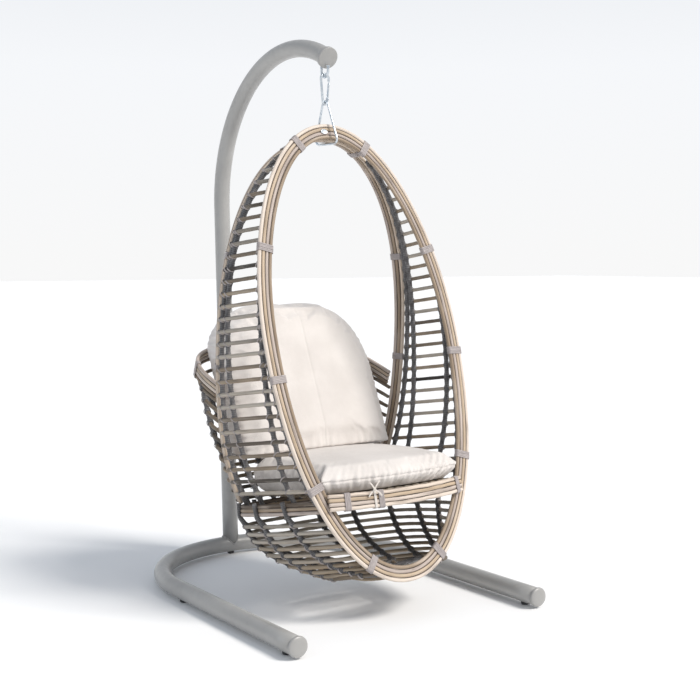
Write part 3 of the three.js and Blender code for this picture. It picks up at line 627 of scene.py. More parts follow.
def make_stand():
    """The tubes, their weld, caps and glides. Returns the arm's path and its end's direction."""
    tube("leg_tube", leg_path(), (0, 0, 1), "base_frame")
    path = arm_path()
    tube("post_tube", path, (1, 0, 0), "post_arm")

    # the weld follows the line where the post meets the floor tube
    welds = Strands()
    a = round_angles(120)
    r = TUBE_R + 0.0005
    saddle = np.stack([r * np.cos(a), BAR_BACK + LEAN * r + r * np.sin(a),
                       TUBE_Z + r * np.abs(np.cos(a)) + 0.001], 1)
    bead(welds, saddle, 0.0032)
    piece("post_weld", welds.mesh("post_weld"), "stand", PAINT, (), STAND)

    nose = unit(path[-1] - path[-2])
    turn = Vector((0, 0, 1)).rotation_difference(Vector(nose)).to_matrix().to_4x4()
    dome = 0.0006
    disc = lathe([(0, 0), (DISC_R, 0), (DISC_R, DISC_L), (0, DISC_L + dome)], 0.003)
    place = STAND @ Matrix.Translation(Vector(path[-1] + nose * GAP)) @ turn
    piece("arm_disc", disc, "stand", PAINT, ["arm_end_cap"], place)

    for side, x in (("left", -LEG_X), ("right", LEG_X)):
        cap = lathe([(0, 0), (CAP_R, 0), (CAP_R, 0.007), (CAP_R - 0.003, 0.0105),
                     (CAP_R * 0.6, CAP_L - 0.0012), (0, CAP_L)], 0.0035)
        turn = Matrix.Rotation(math.pi / 2, 4, "X")
        place = STAND @ Matrix.Translation((x, -REACH - GAP, TUBE_Z)) @ turn
        piece(f"leg_end_{side}", cap, "stand", PAINT, [f"leg_cap_{side}"], place)

    glide_r, glide_h, taper = 0.014, 0.0105, 0.0025
    for name in ("foot_front_left", "foot_rear_left", "foot_front_right", "foot_rear_right", "foot_back"):
        at = middle(name)
        glide = lathe([(0, 0), (glide_r - taper, 0), (glide_r, taper), (glide_r, glide_h), (0, glide_h)],
                      0.0015, 32)
        piece(f"{name}_glide", glide, "stand", PLASTIC, [name], Matrix.Translation((at.x, at.y, 0)))
    return path, nose


# ---- hanging hardware ----------------------------------------------------------------


def arc(cx, cz, radius, start, stop, count=25):
    a = np.linspace(start, stop, count)
    return np.stack([cx + radius * np.cos(a), np.zeros(count), cz + radius * np.sin(a)], 1)


def make_eye(path, nose):
    """The U of wire whose ends are welded to the arm's end and to its underside."""
    low = EYE_LOW + EYE_WIRE
    bow = arc(0, low + EYE_HALF, EYE_HALF, math.pi, 2 * math.pi)[:, [1, 0, 2]]
    front_top = (path[-1] + nose * DISC_L / 2)[2] - 0.028
    rear_top = path[-6][2] - TUBE_R + 0.006
    wire = resample(np.vstack([P(0, -EYE_HALF, front_top), bow, P(0, EYE_HALF, rear_top)]), 60)
    strands = Strands()
    strands.add(wire, carried(wire, (1, 0, 0)), circle(EYE_WIRE, 20))
    weld_r = 0.0052
    for top in (wire[0], wire[-1]):
        a = round_angles(30)
        ring = np.stack([weld_r * np.cos(a), weld_r * np.sin(a), np.full(30, -0.002)], 1) + top
        bead(strands, ring, 0.0018)
    piece("eye_bow", strands.mesh("eye_bow"), "stand", ZINC, ["hanger_eye"], STAND)


def make_snap_hook():
    place = STAND @ Matrix.Rotation(HOOK_TURN, 4, "Z")
    high = HOOK_HIGH - HOOK_WIRE - HOOK_TOP_R
    low = HOOK_LOW + HOOK_WIRE + HOOK_FOOT_R
    pin = P(HOOK_FOOT_R + 0.0012, 0, low + 0.009)
    nose_z = high - 0.008
    count = 110
    body = np.vstack([P(HOOK_TOP_R, 0, nose_z), arc(0, high, HOOK_TOP_R, 0, math.pi),
                      arc(0, low, HOOK_FOOT_R, math.pi, 2 * math.pi), pin + P(0, 0, -0.004)])
    body = resample(body, count)
    swell = np.ones(count)
    swell[:3] = (0.8, 0.93, 1.0)
    strands = Strands()
    strands.add(body, carried(body, (0, 1, 0)), circle(HOOK_WIRE, 20), swell=swell)
    for y in (-1, 1):
        # a flat ear on each side carries the pin
        ear = np.array([pin + P(0, y * out, up)
                        for out, up in ((0.0026, -0.004), (0.0032, 0.001), (0.0032, 0.0045))])
        ear = resample(ear, 9)
        strands.add(ear, carried(ear, (0, 1, 0)), circle(1, 12) * [0.0012, 0.0052],
                    swell=np.array([1, 1, 1, 1, 1, 1, 0.95, 0.8, 0.5]))
    piece("snap_hook", strands.mesh("snap_hook"), "snap_hook", ZINC, ["snap_hook_body"], place)

    end, neck = 0.0056, 0.0046
    rivet = lathe([(0, -end), (PIN_HEAD_R, -end), (PIN_HEAD_R, -neck), (PIN_R, -neck),
                   (PIN_R, neck), (PIN_HEAD_R, neck), (PIN_HEAD_R, end), (0, end)], 0.0004, 24, 3)
    rivet.transform(Matrix.Translation(Vector(pin)) @ Matrix.Rotation(math.pi / 2, 4, "X"))
    piece("hook_rivet", rivet, "snap_hook", ZINC, ["snap_hook_pin"], place)

    # the gate narrows at its pin and ends in a flat tip inside the nose
    gate = Strands()
    top = P(HOOK_TOP_R, 0, nose_z - 0.0055)
    run = resample(np.array([pin + P(0.0003, 0, 0.0), top]), 40)
    swell = np.ones(40)
    swell[:5] = (0.45, 0.5, 0.55, 0.7, 0.9)
    swell[-3:] = (0.97, 0.88, 0.6)
    gate.add(run, carried(run, (0, 1, 0)), circle(GATE_R, 18), swell=swell)
    tip = resample(np.array([top, top + P(0, 0, 0.004)]), 5)
    gate.add(tip, carried(tip, (0, 1, 0)), circle(1, 12) * [0.0012, 0.0024])
    piece("hook_gate", gate.mesh("hook_gate"), "gate", ZINC, ["snap_hook_gate"], place)


def rounded_loop(corners, count):
    """Closed outline whose corners (a, b, radius) are rounded by arcs."""
    out = []
    n = len(corners)
    for i, (a, b, r) in enumerate(corners):
        here = np.array((a, b))
        u = unit(np.array(corners[i - 1][:2]) - here)
        v = unit(np.array(corners[(i + 1) % n][:2]) - here)
        half = math.acos(np.clip(u.dot(v), -1, 1)) / 2
        centre = here + unit(u + v) * r / math.sin(half)
        first, last = here + u * r / math.tan(half) - centre, here + v * r / math.tan(half) - centre
        turn = math.atan2(first[0] * last[1] - first[1] * last[0], first.dot(last))
        for t in np.linspace(0, turn, count):
            c, s = math.cos(t), math.sin(t)
            out.append(centre + (first[0] * c - first[1] * s, first[0] * s + first[1] * c))
    return np.array(out)


def make_ring():
    """A pear of wire: a tight bend on top, and a wide foot that reaches further to the front."""
    low = RING_LOW + RING_WIRE
    high = RING_HIGH - RING_WIRE
    flat = rounded_loop([(0, high + 0.024, 0.013), (0.048, low, 0.015), (-0.066, low, 0.015)], 16)
    over = flat[:, 1].max() - high
    flat[:, 1] -= np.where(flat[:, 1] > (high + low) / 2, over, 0)
    loop = resample(np.column_stack([np.zeros(len(flat)), flat]), 180, True)
    strands = Strands()
    strands.add(loop, P(1, 0, 0), circle(RING_WIRE, 18), closed=True)
    piece("pear_ring", strands.mesh("pear_ring"), "ring", ZINC, ["hanger_ring"],
          BASKET @ Matrix.Rotation(RING_TURN, 4, "Z"))


# ---- the basket's curves -------------------------------------------------------------


def egg_part(shape, above):
    """Height and power of an egg's upper or lower part."""
    height = np.where(above, shape["top"] - shape["wide"], shape["wide"] - shape["bottom"])
    return height, np.where(above, shape["top_power"], shape["end_power"])


def egg_half(shape, z):
    """Half width of an egg at a height."""
    height, p = egg_part(shape, z > shape["wide"])
    t = np.clip(np.abs(z - shape["wide"]) / height, 0, 1)
    return shape["half"] * (1 - t**p) ** (1 / p)


def front_y(z):
    return FRONT_TOP_Y - FRONT_LEAN * (FRONT["top"] - z)


def rear_y(z):
    return REAR_TOP_Y + REAR_LEAN * (REAR["top"] - z) - REAR_PULL * np.exp((z - REAR["top"]) / PULL_RUN)


def egg(shape, y_at, start, stop, count=721):
    a = np.linspace(stop, start, count)
    s, c = np.sin(a), np.cos(a)
    height, p = egg_part(shape, s > 0)
    z = shape["wide"] + height * power(s, 2 / p)
    return np.stack([shape["half"] * power(c, 2 / p), y_at(z), z], 1)


def splay(points):
    """The rear hoop's band looks inward to the back more, the further it is from the middle."""
    s = -REAR_SPLAY * points[..., 0] / REAR["half"]
    return np.stack([s, np.sqrt(1 - s * s), np.zeros_like(s)], -1)


BACK_NORMAL = unit(P(0, 1, -FRONT_LEAN))


def band_half(count):
    return (count - 1) * PITCH / 2 + CANE_R


def on_front(z, side, clear):
    """A point behind the front hoop's canes, a little outside their middle."""
    p = np.array([side * (egg_half(FRONT, z) + 0.008), front_y(z), z], float)
    return p + BACK_NORMAL * (SOLID_CANE_R + clear)


def on_rear(z, side, clear):
    p = np.array([side * egg_half(REAR, z), rear_y(z), z], float)
    return p - splay(p) * (band_half(REAR_CANES) + clear)


def wall_arc(z, count, clear=WALL_CLEAR, deeper=0.0):
    """A run round the back wall, from one side of the rear hoop to the other."""
    t = (z - WALL_FOOT) / (RIM_Z - WALL_FOOT)
    depth = FOOT_DEPTH + (RIM_DEPTH - FOOT_DEPTH) * t**1.4 + deeper
    rise = lerp(-RING_FALL, RIM_RISE, t**0.6)
    edge = np.array([egg_half(REAR, z), rear_y(z), z], float)
    edge = edge + splay(edge) * (band_half(REAR_CANES) + clear)
    a = math.pi * (1 - np.linspace(0, 1, 241))
    back = (depth - (edge[1] - rear_y(z))) * power(np.sin(a), 2 / WALL_POWER)
    run = np.stack([edge[0] * power(np.cos(a), 2 / WALL_POWER), edge[1] + back,
                    z + rise * back], 1)
    return resample(run, count)


def bowl_ring(z, count, wider=0.0):
    """A run round the bowl, from one side of the front hoop to the other."""
    t = np.clip((BOWL["top"] - z) / (BOWL["top"] - BOWL["bottom"]), 0, 1)
    half = (BOWL["half"] + wider) * (1 - t ** BOWL["power"]) ** (1 / BOWL["power"])
    mid_y = BOWL_Y - BOWL_RUN * t**3
    depth = (BOWL["depth"] + wider) * math.sqrt(1 - t**9)
    end = on_front(z, 1, BAND_CLEAR)
    reach = (mid_y - end[1]) / math.sqrt(1 - min(end[0] / half, 0.985) ** 2)
    last = math.asin((mid_y - end[1]) / reach)
    a = np.linspace(-last, math.pi + last, 321)
    s, c = np.sin(a), np.cos(a)
    x = np.where(s > 0, half * power(c, 2 / BOWL["plan"]), half * c)
    y = np.where(s > 0, depth * power(s, 2 / BOWL["plan"]), reach * s)
    return resample(np.stack([-x, mid_y + y, z - RING_FALL * (mid_y + y - end[1])], 1), count)


def rail_y(x):
    return front_y(RAIL_Z) - RAIL_AHEAD - RAIL_BOW * (1 - (x / RAIL_HALF) ** 2)


def rail_run(count=121):
    x = np.linspace(-RAIL_HALF, RAIL_HALF, count)
    return np.stack([x, rail_y(x), np.full(count, RAIL_Z)], 1)


RAIL_FRONT = float(rail_y(0.0))

# ---- bundles of canes and their bindings ---------------------------------------------


class Bundle:
    """Canes side by side along a curve, and the bindings wound round them."""

    def __init__(self, points, across, count, closed=False):
        self.points, self.count, self.closed = points, count, closed
        self.across = np.broadcast_to(across, points.shape)

    def canes(self, name, node, tones):
        """Each cane wanders a little, as bent cane does, and dark strands between them paint the shade in
        the gaps.
        """
        strands = Strands()
        n = len(self.points)
        for i, tone in enumerate(tones):
            wander = np.zeros(n)
            for wave in (3, 7):
                phase = RNG.uniform(0, 2 * math.pi)
                wander += RNG.uniform(0.0002, 0.0005) * np.sin(np.arange(n) * 2 * math.pi * wave / n + phase)
            shift = (i - (self.count - 1) / 2) * PITCH + wander
            strands.add(self.points + self.across * shift[:, None], self.across, circle(CANE_DRAWN, 14),
                        tone, self.closed)
        # strands of the blackest tone in the gaps between the canes: painted shade
        for i in range(self.count - 1):
            shift = (i + 1 - self.count / 2) * PITCH
            strands.add(self.points + self.across * shift, self.across, circle(GAP_SHADE_R, 6), 1.0, self.closed)
        basket_piece(name, strands, CANE, node)

    def nearest(self, node):
        """Index of the point nearest to a node's middle."""
        centre = BASKET.inverted() @ middle(node)
        return int(np.argmin(np.linalg.norm(self.points - np.array(centre), axis=1)))

    def level_with(self, node, side):
        """Index of the step at a node's height, on one side."""
        mids = (self.points + np.roll(self.points, -1, 0)) / 2
        off = np.abs(mids[:, 2] - middle(node).z) + np.where(mids[:, 0] * side > 0, 0, 10)
        if not self.closed:
            off[-1] = 10
        return int(np.argmin(off))

    def bind(self, name, node, at, width, turns, look=LASH, thick=0.0016):
        """Winds flat strands side by side round the canes."""
        a, b = self.points[at], self.points[(at + 1) % len(self.points)]
        along = unit(b - a)
        side = self.across[at] - along * self.across[at].dot(along)
        side = side / np.linalg.norm(side)
        up = np.cross(along, side)
        w, h = band_half(self.count) + 0.0014, CANE_R + 0.0012
        flat = rounded_loop([(w, h, h * 0.8), (-w, h, h * 0.8), (-w, -h, h * 0.8), (w, -h, h * 0.8)], 7)
        step = width / turns
        tilt = step * 0.25 * np.sin(np.linspace(0, 2 * math.pi, len(flat), endpoint=False))
        strands = Strands()
        for k in range(turns):
            offset = (k - (turns - 1) / 2) * step + RNG.uniform(-0.0003, 0.0003)
            run = ((a + b) / 2 + np.outer(flat[:, 0], side) + np.outer(flat[:, 1], up)
                   + np.outer(offset + tilt, along))
            strands.add(run, along, ribbon(step * 1.04, thick), RNG.uniform(), True)
        basket_piece(name, strands, look, node)


FRONT_LOOP = resample(egg(FRONT, front_y, -math.pi / 2, 1.5 * math.pi)[:-1], 416, True)
FRONT_HOOP = Bundle(FRONT_LOOP, np.cross(tangents(FRONT_LOOP, True), BACK_NORMAL), FRONT_CANES, True)
# the rear hoop is open below: it ends on the seat ring
REAR_DROP = REAR["wide"] - WALL_FOOT - band_half(REAR_CANES) - 0.007
REAR_END = math.asin((REAR_DROP / (REAR["wide"] - REAR["bottom"])) ** (REAR["end_power"] / 2))
REAR_ARCH = resample(egg(REAR, rear_y, -REAR_END, math.pi + REAR_END), 320)
REAR_HOOP = Bundle(REAR_ARCH, splay(REAR_ARCH), REAR_CANES)
RAIL = Bundle(rail_run(), unit(P(0, FRONT_LEAN, 1)), FRONT_CANES)
SEAT_RING = Bundle(bowl_ring(RING_Z, 200), P(0, 0, 1), REAR_CANES)
BACK_RIM = Bundle(wall_arc(RIM_Z, 200, BAND_CLEAR), unit(P(0, -RIM_RISE, 1)), FRONT_CANES)


def make_bundles():
    # the front hoop's tones run from its inner edge out; the innermost cane's dark brown is partly its own
    # colour and partly painted shade of the hoop's shaded inner face
    for node, bundle, tones in (("front_hoop", FRONT_HOOP, (0.80, 0.05, 0.56, 0.27)),
                                ("rear_hoop", REAR_HOOP, (0.45, 0.8, 0.1)),
                                ("front_rail", RAIL, (0.35, 0.15, 0.6, 0.4)),
                                ("seat_ring", SEAT_RING, (0.05, 0.8, 0.95)),
                                ("back_rim", BACK_RIM, (0.9, 0.2, 0.5, 0.1))):
        bundle.canes(f"{node}_canes", node, tones)


def make_bindings():
    for side, x in (("left", -1), ("right", 1)):
        for part, hoop, count, width in (("front", FRONT_HOOP, FRONT_BINDINGS, WIDE_BINDING),
                                         ("rear", REAR_HOOP, REAR_BINDINGS, NARROW_BINDING)):
            for i in range(1, count + 1):
                node = f"{part}_binding_{side}_{i}"
                hoop.bind(f"{part}_wrap_{side}_{i}", node, hoop.level_with(node, x), width, 5)
        node = f"rim_binding_{side}"
        BACK_RIM.bind(f"rim_wrap_{side}", node, BACK_RIM.nearest(node), NARROW_BINDING, 5)
    for place in ("left", "middle", "right"):
        node = f"rail_binding_{place}"
        RAIL.bind(f"rail_wrap_{place}", node, RAIL.nearest(node), RAIL_BINDING, 4)


# ---- woven walls ---------------------------------------------------------------------


def cane_rod(strands, points, tone):
    n = len(points)
    swell = 1 + 0.03 * np.sin(np.arange(n) * 0.9 + RNG.uniform(0, 6)) + 0.012 * RNG.standard_normal(n)
    strands.add(points, carried(points, (0, 0, 1)), circle(ROD_R, 10), tone, swell=swell)


def wound_rib(strands, points, knots):
    """A core wound with strand; it thickens where rungs are lashed on."""
    run = resample(points, max(8, int(float(steps(points).sum()) / 0.0035)))
    swell = 1 + 0.04 * RNG.standard_normal(len(run))
    for knot in knots:
        d = np.linalg.norm(run - knot, axis=1)
        swell += 0.40 * np.exp(-((d / 0.0095) ** 2))
    strands.add(run, carried(run, (1, 0, 0)), circle(RIB_R, 12), RNG.uniform(), swell=swell)


def lashing(strands, at, along, out, hand=1):
    """One turn of strand tied slantwise over a crossing."""
    lean = math.radians(RNG.uniform(35, 55)) * hand
    along = unit(along)
    out = unit(out - along * out.dot(along))
    cross = np.cross(along, out)
    slant = unit(along * math.cos(lean) + cross * math.sin(lean))
    a = round_angles(18)
    run = at + np.outer(np.cos(a) * LASH_R * 1.15, slant) + np.outer(np.sin(a) * LASH_R, out)
    strands.add(run, np.cross(slant, out), ribbon(0.0052, 0.0015), RNG.uniform(), True)


def side_between(z, side, t, bulge=0.0):
    """A point of a side panel: z is its rung's height at the front hoop, t runs rear to front."""
    high = float(np.clip((z - SIDE_FOOT) / FALL_SPAN, 0, 1))
    fall = lerp(RUNG_FALL, RUNG_FALL_HIGH, high)
    rear = on_rear(z - fall * (rear_y(z) - front_y(z)), side, SIDE_CLEAR)
    p = lerp(rear, on_front(z, side, SIDE_CLEAR), t)
    return p + P(side * (0.004 * 4 * t * (1 - t) + bulge), 0, 0)


def rib_line(t, drift=0.0, below=1.0, span=1.0):
    """Where a rib runs across a side panel: at t, and drifting from there below a height."""
    return lambda z: t + drift * np.clip((below - z) / span, 0, 1)


def make_side(side, name):
    canes, ribs, ties = Strands(), Strands(), Strands()
    levels = int((SIDE_TOP - SIDE_FOOT) / RUNG_PITCH) + 1
    heights = SIDE_FOOT + np.arange(levels) * RUNG_PITCH
    for z in heights:
        run = np.array([side_between(z, side, t, 0.002) for t in np.linspace(-0.02, 1.02, 25)])
        cane_rod(canes, run, RNG.uniform())
    past = 0.012
    for at, top in ((rib_line(0.045), heights[-1]), (rib_line(0.12, 0.15, 1.35, 0.87), heights[-2]),
                    (rib_line(0.95, -0.24, 1.08, 0.60), 1.06), (rib_line(0.96), heights[-1])):
        zs = np.linspace(RING_Z + 0.014, top + past, 40)
        crossed = [z for z in heights if z <= top + past]
        wound_rib(ribs, np.array([side_between(z, side, at(z), -0.005) for z in zs]),
                  [side_between(z, side, at(z), -0.004) for z in crossed])
        for z in crossed:
            rung = side_between(z, side, 1.0) - side_between(z, side, 0.0)
            lashing(ties, side_between(z, side, at(z), -0.001), rung, P(side, 0, 0),
                    1 if at(z) < 0.5 else -1)
    basket_piece(f"side_rungs_{name}", canes, RUNG, f"side_lattice_{name}")
    basket_piece(f"side_ribs_{name}", ribs, WRAP)
    basket_piece(f"side_ties_{name}", ties, LASH)


def make_wall():
    canes, ribs, ties = Strands(), Strands(), Strands()
    low = WALL_FOOT + band_half(REAR_CANES) + ROD_R + 0.002
    high = RIM_Z - band_half(FRONT_CANES) - ROD_R - 0.004
    heights = np.linspace(low, high, WALL_CANES)
    for z in heights:
        cane_rod(canes, wall_arc(z, 90, deeper=0.002), RNG.uniform(0.55, 1.0))
    last = 100
    for j in range(WALL_RIBS):
        k = int(round(last * (j + 1) / (WALL_RIBS + 1)))
        run = [wall_arc(max(z, WALL_FOOT), last + 1, deeper=-0.004)[k]
               for z in np.linspace(low - 0.03, RIM_Z - 0.02, 16)]
        knots = [wall_arc(z, last + 1, deeper=-0.002)[k] for z in heights]
        wound_rib(ribs, np.array(run), knots)
        for z, knot in zip(heights, knots):
            out = unit(knot - P(0, 0.03, knot[2]))
            cane = wall_arc(z, last + 1)
            lashing(ties, knot + out * 0.003, cane[k + 1] - cane[k - 1], out)
    basket_piece("wall_canes", canes, RUNG, "back_lattice")
    basket_piece("wall_ribs", ribs, WRAP)
    basket_piece("wall_ties", ties, LASH)


def under_bowl(start, stop, count=15):
    """A run under the bowl between two points of its lowest level."""
    t = np.linspace(0, 1, count + 2)[1:-1]
    run = lerp(start, stop, t[:, None])
    run[:, 2] -= BOWL_SAG * np.sin(math.pi * t)
    return run


def bowl_ribs(ribs, ties, rings):
    """Ribs that start on the seat ring, run down one side, under the bowl and up the other."""
    last = len(rings[0]) - 1
    starts = [bowl_ring(RING_Z + z, last + 1, 0.011) for z in (0.026, -0.022)]
    for j in range(BOWL_RIBS):
        k = int(round(last * (j + 1) / (2 * BOWL_RIBS + 1)))
        sides = []
        for at in (k, last - k):
            run = [ring[at] for ring in starts]
            for ring in rings:
                out = unit(ring[at] - P(0, -0.1, 0.42))
                run.append(ring[at] - out * 0.003)
                lashing(ties, ring[at], ring[at + 1] - ring[at - 1], out)
            sides.append(run)
        down, up = sides
        run = np.vstack([down, under_bowl(down[-1], up[-1]), up[::-1]])
        wound_rib(ribs, run, [ring[at] for ring in rings for at in (k, last - k)])


def make_bowl():
    canes, ribs, ties = Strands(), Strands(), Strands()
    t = np.arange(BOWL_CANES) / (BOWL_CANES - 1)
    rings = [bowl_ring(z, 221) for z in lerp(BOWL_FIRST, BOWL_LAST, 1 - (1 - t) ** 1.35)]
    for i, ring in enumerate(rings):
        cane_rod(canes, ring, lerp(0.4, 1.0, i / BOWL_CANES) - RNG.uniform(0, 0.3))
    bowl_ribs(ribs, ties, rings)
    lowest = rings[-1]
    for k in range(-(KEEL_CANES // 2), KEEL_CANES // 2 + 1):
        back = lowest[len(lowest) // 2 + 14 * k]
        front = P(k * 0.031, front_y(FRONT["bottom"]) + 0.014, FRONT["bottom"] - 0.004)
        run = np.vstack([front, under_bowl(front, back), back])
        cane_rod(canes, resample(run, 60), RNG.uniform(0.6, 1.0))
    basket_piece("bowl_canes", canes, RUNG, "bowl_lattice")
    basket_piece("bowl_ribs", ribs, WRAP)
    basket_piece("bowl_ties", ties, LASH)


# ---- seat deck -----------------------------------------------------------------------


def seat_plan(margin, front_margin, half, corner):
    """Closed outline of the seat: behind the rail, inside the ring by a margin, and within half."""
    x = np.linspace(-corner, corner, 61)
    front = np.stack([x, rail_y(x) + SOLID_CANE_R + front_margin], 1)
    ring = bowl_ring(RING_Z, 161)
    along = tangents(ring)
    inner = ring[:, :2] - unit(np.stack([-along[:, 1], along[:, 0]], 1)) * margin
    inner = inner[ring[:, 1] > front_y(RAIL_Z) + 0.044]
    inner[:, 0] = np.clip(inner[:, 0], -half, half)
    return np.vstack([front, inner[::-1]])


def inside(outline, x, y):
    """Even-odd test of points against a closed outline."""
    hit = np.zeros(np.shape(x), bool)
    for (ax, ay), (bx, by) in zip(outline, np.roll(outline, -1, 0)):
        if ay != by:
            hit ^= ((ay > y) != (by > y)) & (x < (bx - ax) * (y - ay) / (by - ay) + ax)
    return hit


def make_deck():
    """Flat strands woven over and under."""
    outline = seat_plan(0.020, 0.018, CUSHION_HALF - 0.012, CUSHION_CORNER - 0.012)
    low, high = outline.min(0), outline.max(0)
    level_z = CUSHION_BASE - 0.0064
    pitch = 0.019
    strands = Strands()
    for axis in (0, 1):
        other = 1 - axis
        for row, level in enumerate(np.arange(low[other] + pitch / 2, high[other], pitch)):
            along = np.arange(low[axis], high[axis], 0.0045)
            flat = np.zeros((len(along), 2))
            flat[:, axis] = along
            flat[:, other] = level
            keep = flat[inside(outline, flat[:, 0], flat[:, 1])]
            if len(keep) < 6:
                continue
            wave = 0.0022 * np.sin(math.pi * keep[:, axis] / pitch + math.pi * row + axis * math.pi / 2)
            fall = DECK_FALL * (keep[:, 1] - RAIL_FRONT)
            run = np.column_stack([keep, level_z - fall + wave * (1 if axis else -1)])
            strands.add(run, np.eye(3)[other], ribbon(0.0165, 0.002), RNG.uniform())
    basket_piece("seat_webbing", strands, RUNG, "seat_deck")


# ---- cushions ------------------------------------------------------------------------


def skin(name, rows):
    """Joins rings of equal length into a closed skin, and adds it as a loose object."""
    m = len(rows[0])
    faces = [[i * m + j, i * m + (j + 1) % m, (i + 1) * m + (j + 1) % m, (i + 1) * m + j]
             for i in range(len(rows) - 1) for j in range(m)]
    faces.append(list(range(m - 1, -1, -1)))
    faces.append([(len(rows) - 1) * m + j for j in range(m)])
    mesh = bpy.data.meshes.new(name)
    mesh.from_pydata(np.vstack(rows).tolist(), [], faces)
    return add_object(name, mesh)


def freeze(obj):
    """Applies an object's modifiers."""
    graph = bpy.context.evaluated_depsgraph_get()
    fresh = bpy.data.meshes.new_from_object(obj.evaluated_get(graph))
    obj.modifiers.clear()
    obj.data = fresh


def read(items, field):
    values = np.zeros(len(items) * 3)
    items.foreach_get(field, values)
    return values.reshape(-1, 3)


def inflate(obj, voxel, cap, frames=20):
    """Voxel remesh, a short pressure run in cloth, and each point's movement capped."""
    remesh = obj.modifiers.new("voxels", "REMESH")
    remesh.mode = "VOXEL"
    remesh.voxel_size = voxel
    freeze(obj)
    start = read(obj.data.vertices, "co")
    cloth = obj.modifiers.new("puff", "CLOTH")
    cloth.settings.use_pressure = True
    cloth.settings.uniform_pressure_force = 4.0
    cloth.settings.effector_weights.gravity = 0
    cloth.settings.quality = 5
    cloth.point_cache.frame_start = 1
    cloth.point_cache.frame_end = frames
    scene = bpy.context.scene
    for step in range(1, frames + 1):
        scene.frame_set(step)
    freeze(obj)
    scene.frame_set(1)
    move = read(obj.data.vertices, "co") - start
    far = np.linalg.norm(move, axis=1, keepdims=True)
    move *= np.minimum(1, cap / np.maximum(far, 1e-9))
    obj.data.vertices.foreach_set("co", (start + move).ravel())


def puffed(name, rows, voxel, cap):
    """A stuffed pad: its mesh, and where its points are and look."""
    obj = skin(name, rows)
    inflate(obj, voxel, cap)
    obj.modifiers.new("smooth", "SUBSURF").levels = 1
    freeze(obj)
    mesh = obj.data
    bpy.data.objects.remove(obj)
    return mesh, read(mesh.vertices, "co"), read(mesh.vertex_normals, "vector")


def cover(name, node, mesh, co):
    mesh.vertices.foreach_set("co", co.ravel())
    mesh.update()
    smooth(mesh)
    piece(name, mesh, "basket", FABRIC, [node])


RIM_TOP = RIM_Z + RIM_RISE * RIM_DEPTH
BACK_FIRST = CUSHION_TOP - CUSHION_FALL * (BACK_FRONT_Y - RAIL_FRONT)


def wall_back(z):
    rise = z - RAIL_Z
    return 0.195 + 0.36 * rise + 0.068 * (rise / 0.451) ** 2


def back_front(z):
    """The back cushion's front plane at a height."""
    return BACK_FRONT_Y + BACK_RECLINE * (z - BACK_FIRST)


def back_level(z):
    """Half width, front plane and thickness of the back cushion at a height."""
    t = np.clip((z - BACK_WIDEST) / (BACK_TOP - BACK_WIDEST), 0, 0.995)
    low = np.clip((BACK_WIDEST - z) / (BACK_WIDEST - BACK_FIRST), 0, 1)
    half = BACK_HALF * (1 - t**2.6) ** (1 / 2.6) - 0.006 * low**2
    level = min(z, RIM_TOP)
    thick = wall_back(level) - 0.029 - back_front(level)
    up = np.clip((z - RIM_TOP) / (BACK_TOP - RIM_TOP), 0, 0.985)
    return half, back_front(z), thick * math.sqrt(1 - up * up)


def smooth_step(value, low, high):
    t = np.clip((value - low) / (high - low), 0, 1)
    return t * t * (3 - 2 * t)


def bell(value, width):
    return np.exp(-((value / width) ** 2))


def tilted(points):
    """The seat cushion's underside falls toward the rear more than its top does."""
    t = np.clip((points[:, 2] - CUSHION_BASE) / (CUSHION_TOP - CUSHION_BASE), 0, 1)
    fall = lerp(DECK_FALL, CUSHION_FALL, t)
    points[:, 2] -= fall * (points[:, 1] - RAIL_FRONT)
    return points


# the seat cushion's outlines: rise above its base, and how far each is drawn in
PAD_LEVELS = ((0.0, 0.046), (0.008, 0.024), (0.020, 0.009), (0.034, 0.0), (0.048, 0.0),
              (0.060, 0.014), (0.068, 0.040))


def make_seat_cushion():
    rows = []
    for rise, inset in PAD_LEVELS:
        edge = 0.004 + inset
        plan = seat_plan(0.0254 + edge, 0.003 + edge, CUSHION_HALF + 0.010 - edge,
                         CUSHION_CORNER + 0.026 - edge)
        loop = np.column_stack([plan, np.full(len(plan), CUSHION_BASE + 0.003 + rise)])
        rows.append(tilted(resample(loop, 200, True)))
    mesh, co, no = puffed("seat_pad", rows, 0.006, 0.012)
    # height above the tilted middle of the pad, and distance from its centre in plan
    behind = co[:, 1] - RAIL_FRONT
    middle_z = (CUSHION_BASE + CUSHION_TOP) / 2 - lerp(DECK_FALL, CUSHION_FALL, 0.5) * behind
    above = co[:, 2] - middle_z
    centre = np.array((0.0, -0.16))
    reach = np.linalg.norm((co[:, :2] - centre) / (0.30, 0.29), axis=1)
    crown = 0.012
    co[:, 2] += smooth_step(above, 0.0, 0.03) * crown * np.clip(1 - reach**2, -0.5, 1)
    # the seam that runs round the edge, and the cover gathered into it
    angle = np.arctan2(co[:, 1] - centre[1], co[:, 0])
    rim = smooth_step(reach, 0.72, 0.97)
    seam = bell(above, 0.0035) * rim
    co -= no * (0.0035 * seam)[:, None]
    pucker = sum(size * np.sin(angle * waves + phase + above * lean)
                 for size, waves, phase, lean in ((1, 57, 0.4, 30), (0.7, 89, 2.1, -45), (0.8, 33, 4.0, 20)))
    co += no * (0.0013 * pucker * rim * (0.25 + bell(above, 0.022)))[:, None]
    # slanting creases at the right of the front, where the rail pushes the cover up
    slant = co[:, 0] * 0.8 - above * 1.2
    near = bell(co[:, 0] - 0.20, 0.07) * smooth_step(-co[:, 1], 0.30, 0.40)
    co += no * (0.0028 * near * np.sin(slant * 210))[:, None]
    # flat where it rests on the deck
    base = CUSHION_BASE + GAP - DECK_FALL * (co[:, 1] - RAIL_FRONT)
    co[:, 2] = np.maximum(co[:, 2], base)
    cover("seat_cushion_cover", "seat_cushion", mesh, co)


